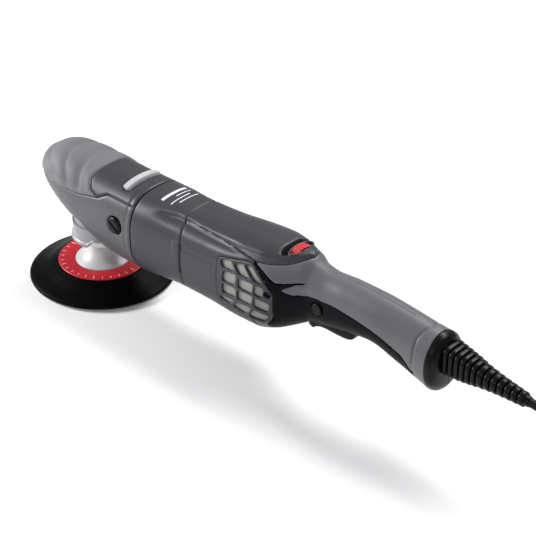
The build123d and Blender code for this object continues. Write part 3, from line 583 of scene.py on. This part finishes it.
def cut(points, normals, value, keep_above):
    """Faces of the grid, clipped to where value is at least keep_above. Returns vertices with data."""
    rows, cols = value.shape
    index = {}
    data = []
    faces = []

    def vertex(key, make):
        if key not in index:
            index[key] = len(data)
            data.append(make())
        return index[key]

    flat = np.concatenate([points, normals, value[..., None]], axis=2)
    inside = value >= keep_above
    for i in range(rows - 1):
        active = inside[i, :-1] | inside[i, 1:] | inside[i + 1, :-1] | inside[i + 1, 1:]
        for j in np.nonzero(active)[0]:
            loop = ((i, j), (i, j + 1), (i + 1, j + 1), (i + 1, j))
            polygon = []
            for a, b in zip(loop, loop[1:] + loop[:1]):
                if inside[a]:
                    polygon.append(vertex(("v",) + seam(a, cols), lambda a=a: flat[a]))
                if inside[a] != inside[b]:
                    lo, hi = (a, b) if a < b else (b, a)
                    t = (keep_above - value[lo]) / (value[hi] - value[lo])
                    t = min(0.98, max(0.02, t))
                    polygon.append(vertex(("e",) + seam(lo, cols) + seam(hi, cols),
                                          lambda lo=lo, hi=hi, t=t: flat[lo] * (1 - t) + flat[hi] * t))
            polygon = [p for k, p in enumerate(polygon) if p != polygon[k - 1]]
            if len(polygon) >= 3:
                faces.append(polygon)
    return np.array(data), faces


def seam(cell, cols):
    """The grid's first and last column are one line of points."""
    return (int(cell[0]), 0 if cell[1] == cols - 1 else int(cell[1]))


GAP, RIM, SKIRT = 0.18, 0.9, 2.2


def shell(name, value, slot_name, body="housing", nodes=(), mat=None, lift=0.0, gap=GAP, rim=RIM, skirt=SKIRT,
          grid=None):
    """Skin piece where value (mm inside its outline) is positive, with a rolled edge and an inward lip."""
    data, faces = cut(*(grid or (SURFACE, NORMALS)), value, gap)
    if len(data) == 0:
        raise ValueError(name)
    points, normals, depth = data[:, :3], data[:, 3:6], data[:, 6]
    t = np.clip((depth - gap) / rim, 0, 1)
    points = points + normals * (lift - rim * 0.75 * (1 - np.sqrt(1 - (1 - t) ** 2)))[:, None]
    edges = {}
    for face in faces:
        for a, b in zip(face, face[1:] + face[:1]):
            edges[(a, b)] = edges.get((a, b), 0) + 1
    border = [(a, b) for a, b in edges if (b, a) not in edges]
    inner = {}
    points, faces = list(points), list(faces)
    for a, b in border:
        for v in (a, b):
            if v not in inner:
                inner[v] = len(points)
                points.append(np.array(points[v]) - normals[v] * skirt)
        faces.append([b, a, inner[a], inner[b]])
    return piece(name, points, faces, slot_name, body, nodes, mat, smooth_angle=55)


housing_value = np.minimum.reduce([-before_rear, -in_vent - 0.1, -in_inlay])
COVER_EDGE = outline([(130, -20.8, 122.9), (147, -21.7, 122.8), (166, -22.9, 122.5), (185, -24.3, 121.9),
                      (208, -26.5, 121),
                      (228, -28.3, 120.2), (244, -24.5, 122.2), (257, -17.5, 125.4), (265.5, -9, 129.2),
                      (268.5, 0, 130)])
cover_edge = np.vstack([smooth_outline(COVER_EDGE, closed=False), [(268.5, -FAR), (130, -FAR)]])
spine_field = distance(cover_edge, XG, AG)
spine_field = np.minimum(spine_field, -before_rear)
cover_value = np.minimum.reduce([FRONT_SEAM_X - COVER_GAP - XG, -in_grip, -in_spine, throat])
plug_off = 8.9 - np.hypot(XG - PLUG_X, SKIN[..., 2] - PLUG_Z)
cover_value = np.where(SKIN[..., 2] > 80, np.minimum(cover_value, -plug_off), cover_value)

shell("head_cover", cover_value, "grey_cover", nodes=("head_cover_left", "head_cover_right"))
shell("nose_grip", in_grip, "soft_grip", nodes=("head_grip",))
bar_hole = np.maximum(np.abs(XG - 59.4) - 4.2, AG - 21.2)
shell("crown_spine", np.minimum.reduce([in_spine, FRONT_SEAM_X - COVER_GAP - XG, bar_hole]), "dark_cover",
      nodes=("head_spine",))
shell("motor_front", np.minimum(before_rear, XG - FRONT_SEAM_X - 0.5), "dark_cover",
      nodes=("front_motor_housing",))
well_polygon = smooth_outline([(241.5, -1.0), (241.5, 12), (244.5, 16.8), (249.5, 14.8), (254.5, 10.0),
                               (258.0, 3.5), (258.6, -1.0),
                               (258.0, -3.5), (254.5, -10.0), (249.5, -14.8), (244.5, -16.8), (241.5, -12)],
                               steps=5)
in_well = distance(well_polygon, XG, ARC)
shell("motor_cover", np.minimum(spine_field, -in_well), "dark_cover", nodes=("motor_spine",), gap=0.1,
      rim=0.7, skirt=4.5)
shell("dial_well", in_well + 0.9, "black_plastic", lift=-4.4, skirt=0.3, rim=0.1)
# the clamshell halves are one grey moulding split at HANDLE_X: the motor half takes the darker dark_cover
# finish as painted shade, the handle half keeps the clamshell grey
HANDLE_X = 228.0
shell_value = np.minimum(housing_value, -spine_field)
shell("motor_shell", np.minimum(shell_value, HANDLE_X - XG), "dark_cover",
      nodes=("housing_left", "housing_right"), gap=0.12)
shell("handle_shell", np.minimum(shell_value, XG - HANDLE_X), "dark_cover",
      nodes=("housing_left", "housing_right"), mat=clamshell_grey, gap=0.12)
trigger_slot = np.minimum.reduce([8.7 - np.abs(SKIN[..., 1]), 28.4 - np.abs(XG - 292.4), 88 - SKIN[..., 2]])
lock_hole = np.where(SKIN[..., 1] < 0, 5.9 - np.hypot(XG - LOCK_X, SKIN[..., 2] - LOCK_Z), -5.0)
openings = np.maximum(trigger_slot, lock_hole)
shell("belly_inlay", np.minimum.reduce([in_inlay, TAIL_X - XG, -openings]), "black_plastic",
      nodes=("handle_inlay",), mat=inlay_black)
# near-black lining just under the whole skin, so the seams and gaps between covers show as dark: painted
# shade in the gaps
shell("inner_skin", np.minimum.reduce([TAIL_X - XG, throat + 1.5, -in_well - 0.5, -openings - 0.3])
      + 0.2, "black_plastic", lift=-1.9, skirt=0.2, rim=0.1)

# ------------------------------------------------------------------ vent frames, mesh and windows
WINDOWS = [
    [(190, 109), (200, 112), (207, 105), (193, 104)], [(206, 111), (214, 114), (225, 105), (213, 105)],
    [(218, 114), (224, 115), (238, 104), (231, 105)], [(195, 100), (209, 102), (208, 92), (194, 91)],
    [(213, 100), (229, 101), (228, 92), (213, 92)], [(231, 100), (239, 100), (238, 91), (231, 92)],
    [(194, 87), (209, 89), (209, 80), (194, 79)], [(213, 88), (229, 89), (227, 80), (212, 80)],
    [(231, 88), (244, 86), (243, 77), (231, 80)], [(192, 74), (207, 75), (202, 70), (190, 71)],
    [(212, 75), (227, 76), (220, 67), (206, 69)], [(230, 75), (243, 72), (238, 65), (224, 66)],
]


def side_point(x, z):
    """(x, arc) of the skin point at height z on the side."""
    ys, zs, arc = half_section(x)
    k = int(np.argmin(np.abs(zs - z)))
    return (x, float(arc[k]))


def refine(grid):
    """Grid with a row and a column added between each two."""
    tall = np.empty((2 * grid.shape[0] - 1,) + grid.shape[1:])
    tall[::2], tall[1::2] = grid, (grid[:-1] + grid[1:]) / 2
    wide = np.empty((tall.shape[0], 2 * tall.shape[1] - 1) + tall.shape[2:])
    wide[:, ::2], wide[:, 1::2] = tall, (tall[:, :-1] + tall[:, 1:]) / 2
    return wide


vent_rows = slice(int(np.searchsorted(xs, 182)), int(np.searchsorted(xs, 252)))
x_fine, arc_fine = refine(XG[vent_rows]), np.abs(refine(ARC[vent_rows]))
fine_grid = (refine(SURFACE[vent_rows]), refine(NORMALS[vent_rows]))
window_field = np.full_like(x_fine, -50.0)
for corners in WINDOWS:
    window = rounded_outline([side_point(*c) for c in corners], 2.0)
    window_field = np.maximum(window_field, distance(window, x_fine, arc_fine) + 0.55)
screw_hole = 2.9 - np.hypot(x_fine - 242.8, arc_fine - side_point(242.8, 95.2)[1])
window_field = np.maximum(window_field, screw_hole)
vent_field = distance(vent_curve, x_fine, arc_fine)
frame_field = np.minimum(vent_field, -window_field)
mesh_field = np.minimum(vent_field - 1.0, -screw_hole - 0.4)
for side, mask in (("left", fine_grid[0][..., 1] <= 0), ("right", fine_grid[0][..., 1] >= 0)):
    shell("vent_frame_" + side, np.where(mask, frame_field, -5.0), "dark_cover",
          nodes=("vent_frame_" + side,), lift=0.5, rim=0.6, skirt=2.6, gap=0.1, grid=fine_grid)
    shell("vent_mesh_" + side, np.where(mask, mesh_field, -5.0), "filter_mesh", nodes=("vent_filters",),
          lift=-1.7, skirt=0.3, rim=0.1, grid=fine_grid)

# ------------------------------------------------------------------ pad, hub, ring, shroud
PAD_SEGMENTS = 160


def dimples(angle, r, z):
    """Slightly uneven moulded foam on the sloping top of the pad."""
    return r + (0.12 * math.sin(7 * angle + z) if 50 < r < 69.5 else 0)


points, faces = lathe([(0, 5.8, 0), (0, 2.05, 0), (69.2, 2.05, 1.2), (70, 2.7, 0.6), (70, 5.4, 1.2),
                       (67.2, 6.8, 1.4),
                       (63, 8.3, 3), (56, 10.9, 3), (47.2, 15.3, 1.6), (46, 15.6, 0.5), (43.6, 16.9, 1.0),
                       (26, 16.9, 0), (26, 14, 0), (0, 14, 0)], PAD_SEGMENTS, wave=dimples, steps=6)
piece("backing_pad", points, faces, "black_foam", "pad", ("backing_plate",), smooth_angle=50)
points, faces = lathe([(0, 1.9, 0), (0, 0.05, 0), (68.4, 0.05, 0.6), (69, 0.8, 0.6), (69, 1.9, 0)],
                      PAD_SEGMENTS)
piece("hook_face", points, faces, "hook_fabric", "pad", ("hook_layer",))
ring_data = lathe([(26.2, 17.1, 0), (42.2, 17.1, 0.2), (42.2, 17.7, 0.4), (41.6, 18.2, 0.4),
                   (26.6, 18.2, 0.4), (26.2, 17.8, 0)], PAD_SEGMENTS)
rows = len(ring_data[0]) // PAD_SEGMENTS
piece("pad_band", ring_data[0], ring_faces(rows, PAD_SEGMENTS) + closing_faces(rows, PAD_SEGMENTS),
      "red_ring", "pad", ("pad_ring",))


def boxes(cells):
    """Points and faces of separate boxes from (centre, half sizes, turn about Z)."""
    points, faces = [], []
    for (cx, cy, cz), (hx, hy, hz), turn in cells:
        base = len(points)
        c, s = math.cos(turn), math.sin(turn)
        for sx, sy, sz in ((-1, -1, -1), (1, -1, -1), (1, 1, -1), (-1, 1, -1), (-1, -1, 1), (1, -1, 1),
                           (1, 1, 1), (-1, 1, 1)):
            x, y = sx * hx, sy * hy
            points.append((cx + c * x - s * y, cy + s * x + c * y, cz + sz * hz))
        faces += [[base + k for k in f] for f in ((0, 3, 2, 1), (4, 5, 6, 7), (0, 1, 5, 4), (1, 2, 6, 5),
                                                  (2, 3, 7, 6), (3, 0, 4, 7))]
    return points, faces


TICK_COUNT, TICK_R = 30, 38.4
ticks = []
for k in range(TICK_COUNT):
    turn = math.radians(k * 360 / TICK_COUNT + 4)
    half_length = 1.5 if k % 5 else 2.4
    ticks.append(((TICK_R * math.cos(turn), TICK_R * math.sin(turn), 18.2), (half_length, 0.28, 0.12), turn))
piece("band_ticks", *boxes(ticks), "bright_trim", "pad", mat=print_white)

points, faces = lathe([(0, 12.2, 0), (25.9, 12.2, 0.4), (25.9, 18.7, 0.8), (24.3, 19.5, 1.5), (20, 22.1, 3),
                       (16, 26, 3), (13, 31, 2), (12, 35.9, 0), (0, 35.9, 0)], 128)
piece("hub_cone", points, faces, "white_hub", "pad", ("pad_hub",))


def shroud_wall():
    """Shroud tube with a rolled lip; its lower edge rises over the rear half as the casting does."""
    segments = 144
    chain = rounded_profile([(26.4, 63.5, 0), (26.4, 45.6, 0.8), (27, 45.0, 0.5), (30.4, 45.0, 0.8),
                             (31, 46, 0.6),
                             (31, 48.6, 0.8), (29.6, 49.6, 0.8), (29.5, 51, 0.4), (29.5, 63.5, 0)])
    points = []
    for r, z in chain:
        for a in np.linspace(0, 2 * np.pi, segments, endpoint=False):
            lift = 7.2 * ease((math.cos(a) - 0.22) / 0.25) * max(0.0, (58 - z) / 13)
            points.append((THROAT_X + r * math.cos(a), r * math.sin(a), min(63.5, z + min(lift, 7.2))))
    rows = len(chain)
    return points, ring_faces(rows, segments) + closing_faces(rows, segments)


piece("shroud", *shroud_wall(), "cast_alloy", "housing", ("spindle_shroud",), smooth_angle=50)

# ------------------------------------------------------------------ trim bar, side plugs, generic print
def skin_point(x, arc, lift=0.0):
    """Point of the skin (mm) at x and a signed arc length, raised along its normal."""
    i = float(np.interp(x, xs, np.arange(len(xs))))
    i0 = min(int(i), len(xs) - 2)
    rows = []
    for k in (i0, i0 + 1):
        j = np.interp(arc, ARC[k], np.arange(COLUMNS))
        j0 = min(int(j), COLUMNS - 2)
        f = j - j0
        rows.append(((1 - f) * SURFACE[k, j0] + f * SURFACE[k, j0 + 1],
                     (1 - f) * NORMALS[k, j0] + f * NORMALS[k, j0 + 1]))
    f = i - i0
    point = (1 - f) * rows[0][0] + f * rows[1][0]
    normal = (1 - f) * rows[0][1] + f * rows[1][1]
    return point + normal / np.linalg.norm(normal) * lift


def strap(x_low, x_high, arc_low, arc_high, crown, base=-1.6, across=20, along=80, corner=3.0, edge_power=6):
    """Domed pad lying on the skin, with round corners; crown is its height in mm."""
    points = []
    for i in range(along + 1):
        v = -math.cos(math.pi * i / along)
        for j in range(across + 1):
            u = -math.cos(math.pi * j / across)
            squeeze = math.sqrt(max(0.0, 1 - abs(v) ** (2 * (arc_high - arc_low) / (2 * corner))))
            squeeze = max(0.05, squeeze)
            x = (x_low + x_high) / 2 + u * squeeze * (x_high - x_low) / 2
            arc = (arc_low + arc_high) / 2 + v * (arc_high - arc_low) / 2
            edge = (1 - u ** edge_power) * (1 - v ** (4 * edge_power))
            points.append(skin_point(x, arc, base + (crown - base) * math.sqrt(max(0.0, edge))))
    faces = [(i * (across + 1) + j, (i + 1) * (across + 1) + j, (i + 1) * (across + 1) + j + 1,
              i * (across + 1) + j + 1)
             for i in range(along) for j in range(across)]
    return points, faces


piece("trim_bar", *strap(55.4, 62.6, -21, 21, 2.6, corner=0.8, edge_power=14), "bright_trim", "housing",
      ("head_trim_bar",), smooth_angle=60)


def plug(side):
    """Slotted dome on the side of the head, facing sideways."""
    points, segments = [], 64
    chain = rounded_profile([(0, 2.2, 0), (3.2, 2.2, 0.6), (6.6, 2.0, 1.6), (8.3, 0.6, 1.0), (8.5, -1.5, 0),
                             (0, -1.5, 0)])
    y0 = 36.8
    for r, h in chain:
        for a in np.linspace(0, 2 * np.pi, segments, endpoint=False):
            u, v = r * math.cos(a), r * math.sin(a)
            across = abs(u * math.sin(math.radians(35)) + v * math.cos(math.radians(35)))
            slot = 1.5 * (1 - ease((across - 0.7) / 0.5)) if h > 1.0 and r < 7 else 0
            points.append((PLUG_X + u, side * (y0 + h - slot), PLUG_Z + v))
    return points, ring_faces(len(chain), segments)


for side, label in ((-1, "left"), (1, "right")):
    piece("side_plug_" + label, *plug(side), "black_plastic", "housing", ("side_plugs",), smooth_angle=35)
bars = []
for row, (x, arc_low, arc_high) in enumerate(((100, -15, 15), (106, -15, 3), (111, -9, 15), (116, -15, 9))):
    width = 3.2 if row == 0 else 1.0
    count = 30
    points, faces = [], []
    for i in range(count + 1):
        arc = arc_low + (arc_high - arc_low) * i / count
        for dx in (-width / 2, width / 2):
            points.append(skin_point(x + dx, arc, 0.06))
    faces = [(2 * i, 2 * i + 2, 2 * i + 3, 2 * i + 1) for i in range(count)]
    bars.append((points, faces))
points, faces = [], []
for p, f in bars:
    base = len(points)
    points += p
    faces += [[base + k for k in q] for q in f]
piece("print_bars", points, faces, "bright_trim", "housing", mat=print_white)

# ------------------------------------------------------------------ speed dial and its bezel
def lens_rim():
    """Raised lens-shaped frame round the dial slot."""
    segments = 96
    profile = [(0.0, -1.0), (0.0, 0.9), (0.5, 1.3), (1.3, 1.3), (1.9, 0.7), (2.1, -1.0)]
    points = []
    for out, rise in profile:
        for a in np.linspace(0, 2 * np.pi, segments, endpoint=False):
            x = 252.4 + (4.9 + out) * math.cos(a) * (1 if math.cos(a) > 0 else 0.95)
            y = (13.2 + out) * math.sin(a)
            points.append((x, y, 131.0 + rise - 0.004 * y * y))
    return points, ring_faces(len(profile), segments)


piece("dial_rim", *lens_rim(), "dark_cover", "housing", ("dial_bezel",), smooth_angle=50)


def knurl(angle, r, z):
    """Fine ribs round the thumb wheel."""
    return r - (0.45 * (0.5 + 0.5 * math.cos(48 * angle)) if r > 15.5 else 0)


points, faces = lathe([(0, 248.2, 0), (15.2, 248.2, 0), (16.2, 249.0, 0.5), (16.2, 255.0, 0.5),
                       (15.2, 255.8, 0), (0, 255.8, 0)], 384, centre=(0, 117.5), axis="X", wave=knurl)
piece("thumb_wheel", points, faces, "red_plastic", "dial", ("speed_dial",), smooth_angle=35)

# ------------------------------------------------------------------ trigger, lock button
trigger_line = smooth_outline([(266, 83), (265.6, 74), (267.5, 66), (272, 63), (276.5, 66), (284, 67.6),
                               (300, 67.6),
                               (314, 68.8), (318.4, 73), (318.4, 82), (314, 86.4), (290, 86.4), (271, 86.2)],
                               steps=5)
levels = [(-7.9, 1.6), (-7.4, 0.7), (-6.4, 0.1), (-4.5, 0), (4.5, 0), (6.4, 0.1), (7.4, 0.7), (7.9, 1.6)]
centre = trigger_line.mean(axis=0)
points = []
for y, shrink in levels:
    for p in trigger_line:
        toward = centre - p
        points.append((*(p + toward / np.linalg.norm(toward) * shrink), y))
points = [(p[0], p[2], p[1]) for p in points]
piece("trigger_lever", points, ring_faces(len(levels), len(trigger_line), caps=True), "black_plastic",
      "trigger", ("trigger",), smooth_angle=50)
chain = rounded_profile([(0, -19.4, 0), (4.4, -19.4, 1.2), (5.3, -18.6, 0.8), (5.4, -13.2, 0), (0, -13.2, 0)])
points = []
for r, y in chain:
    for a in np.linspace(0, 2 * np.pi, 64, endpoint=False):
        dish = 0.35 * (1 - (r / 4.4) ** 2) if r < 4.4 and y < -19 else 0
        points.append((LOCK_X + r * math.cos(a), y + dish, LOCK_Z + r * math.sin(a)))
piece("lock_pin", points, ring_faces(len(chain), 64), "black_plastic", "lock", ("lock_button",),
      smooth_angle=40)

# ------------------------------------------------------------------ end cap and cord boot
CAP = [(404.2, 115.1, 60, 22.4, 89), (405.5, 115.3, 59.9, 22.6, 89), (408.5, 114.7, 61.0, 22.1, 89),
       (411, 113.0, 63.4, 20.6, 89), (412.8, 110.5, 66.4, 18.2, 89), (413.6, 108.5, 69, 16.5, 89)]


def cap_half(side):
    """Half of the two-part end cap, with a groove at its parting line and round its neck."""
    count = 60
    points = []
    for x, top, bottom, half, middle in CAP + [(413.9, 100, 85, 11, 93)]:
        for a in np.linspace(np.pi / 2, -np.pi / 2, count):
            c, s = abs(math.cos(a)), math.sin(a)
            y = half * c ** (2 / 2.05)
            rise = top - middle if s >= 0 else middle - bottom
            z = middle + rise * math.copysign(abs(s) ** (2 / 2.05), s)
            points.append((x, side * max(y, 0.2), z))
    return points, [f if side > 0 else f[::-1] for f in ring_faces(len(CAP) + 1, count, wrap=False)]


for side, label in ((-1, "left"), (1, "right")):
    piece("tail_cap_" + label, *cap_half(side), "black_plastic", "housing", ("end_cap_" + label,),
          smooth_angle=50)

BOOT_START, BOOT_END = (410.0, 95.5), (494.0, 88.5)
rings = [(408, 12.2, 13.2, 4.0), (413.5, 12.2, 13.2, 4.0)]
x = 414.0
for width, half_y, half_z, square in ((5.4, 13.0, 14.0, 3.8), (5.4, 12.5, 13.5, 3.6), (5.4, 12.0, 12.9, 3.4),
                                      (5.2, 11.5, 12.3, 3.2),
                                      (5.2, 11.0, 11.7, 2.9), (5.2, 10.5, 11.0, 2.6), (6.4, 9.9, 10.2, 2.2),
                                      (6.4, 9.2, 9.4, 2.1),
                                      (6.4, 8.6, 8.7, 2), (6.4, 8.0, 8.0, 2), (6.4, 7.4, 7.4, 2),
                                      (6.2, 6.9, 6.9, 2), (6.0, 6.4, 6.4, 2)):
    rings += [(x, half_y - 2.0, half_z - 2.0, square), (x + 0.8, half_y - 1.9, half_z - 1.9, square),
              (x + 1.2, half_y - 0.3, half_z - 0.3, square), (x + 1.8, half_y, half_z, square),
              (x + width - 1.0, half_y, half_z, square),
              (x + width - 0.4, half_y - 0.3, half_z - 0.3, square)]
    x += width
rings += [(x, 4.7, 4.7, 2), (493.6, 4.4, 4.4, 2), (493.9, 3.9, 3.9, 2)]
points = []
for x, half_y, half_z, square in rings:
    drop = BOOT_START[1] + (BOOT_END[1] - BOOT_START[1]) * (x - BOOT_START[0]) / (BOOT_END[0] - BOOT_START[0])
    for a in np.linspace(0, 2 * np.pi, 72, endpoint=False):
        c, s = math.cos(a), math.sin(a)
        points.append((x, half_y * math.copysign(abs(c) ** (2 / square), c),
                       drop + half_z * math.copysign(abs(s) ** (2 / square), s)))
piece("cord_sleeve", points, ring_faces(len(rings), 72, caps=True), "black_plastic", "housing",
      ("cord_boot",), smooth_angle=45)

# ------------------------------------------------------------------ cord, plug and pins
CORD_R = 3.8
CORD_ROUTE = [(494, 0, 88.5), (524, 0, 86), (555, -2, 74), (580, -7, 52), (600, -13, 28), (625, -18, 8)]
LEAD_ROUTE = [(638, 88.5, 25), (612, 91, 18), (588, 94, 12), (566, 95, 11)]
COIL_CENTRE, COIL_RADII, COIL_LAYERS = (662.0, 34.0), (53.6, 46.0, 38.4), (3.8, 11.4, 19.0, 26.6)
turns = []
for layer, height in enumerate(COIL_LAYERS):
    order = COIL_RADII if layer % 2 == 0 else COIL_RADII[::-1]
    turns += [(radius, height) for radius in order]
PER_TURN, TURNS = 16, 11.5
coil = []
for k in range(int(PER_TURN * TURNS) + 1):
    turn, part = divmod(k / PER_TURN, 1)
    here, after = turns[int(turn)], turns[min(int(turn) + 1, len(turns) - 1)]
    blend = ease((part - 0.72) / 0.28)
    radius = here[0] + (after[0] - here[0]) * blend
    height = here[1] + (after[1] - here[1]) * blend
    angle = -math.pi / 2 + 2 * math.pi * k / PER_TURN
    coil.append((COIL_CENTRE[0] + radius * math.cos(angle), COIL_CENTRE[1] + radius * math.sin(angle),
                 height))
cord_points = CORD_ROUTE + coil + LEAD_ROUTE
curve = bpy.data.curves.new("mains_cord", "CURVE")
curve.dimensions = "3D"
curve.resolution_u = 10
spline = curve.splines.new("NURBS")
spline.points.add(len(cord_points) - 1)
for point, (px, py, pz) in zip(spline.points, cord_points):
    point.co = (px * MM, py * MM, pz * MM, 1)
spline.order_u = 3
spline.use_endpoint_u = True
curve.bevel_depth = CORD_R * MM
curve.bevel_resolution = 8
curve.use_fill_caps = True
curve.materials.append(FINISH["cord_rubber"])
mains_cord = bpy.data.objects.new("mains_cord", curve)
bpy.context.scene.collection.objects.link(mains_cord)
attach(mains_cord, "housing")
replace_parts(mains_cord, "power_cord", "plug_lead", "cord_coil")

MAINS_PLUG_Y, MAINS_PLUG_Z, PIN_OFFSET = 95, 11, 9.5
plug_rows = []
for x, width, height in ((565.8, 8.6, 8.6), (563, 9.6, 9.6), (555, 11, 10.4), (547, 13.2, 11.6),
                         (541, 15.4, 13.2), (535, 21, 16.4),
                         (529, 29, 20.4), (521, 33.6, 21.6), (512, 35.6, 21.8), (503, 35, 21.2),
                         (500.6, 34, 20.2), (500.1, 32, 18.4)):
    for a in np.linspace(0, 2 * np.pi, 72, endpoint=False):
        c, s = math.cos(a), math.sin(a)
        plug_rows.append((x, MAINS_PLUG_Y + width / 2 * math.copysign(abs(c) ** 0.7, c),
                          MAINS_PLUG_Z + height / 2 * math.copysign(abs(s) ** 0.7, s)))
mains_plug = piece("mains_plug", plug_rows, ring_faces(12, 72, caps=True), "cord_rubber", "housing",
                   ("plug_body",), smooth_angle=50)
pin_points, pin_faces = [], []
for y in (MAINS_PLUG_Y - PIN_OFFSET, MAINS_PLUG_Y + PIN_OFFSET):
    points, faces = lathe([(0, 481.1, 0), (1.4, 481.1, 0.5), (2.35, 483, 0.8), (2.35, 500, 0), (0, 500, 0)],
                          40, centre=(y, MAINS_PLUG_Z), axis="X")
    pin_faces += [[len(pin_points) + k for k in f] for f in faces]
    pin_points += points
mains_pins = piece("mains_pins", pin_points, pin_faces, "pin_brass", "housing", ("plug_pins",),
                   smooth_angle=40)

# ------------------------------------------------------------------ finishes of the CAD parts that stay
hidden = set()
for obj in bpy.data.objects:
    hidden.update(obj.get("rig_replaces", []))
slots = {part["node"]: part["material_slot"] for part in frame["record"]["subparts"]}
for name, obj in frame["nodes"].items():
    if name not in hidden:
        obj.data.materials.clear()
        obj.data.materials.append(FINISH[slots[name]])
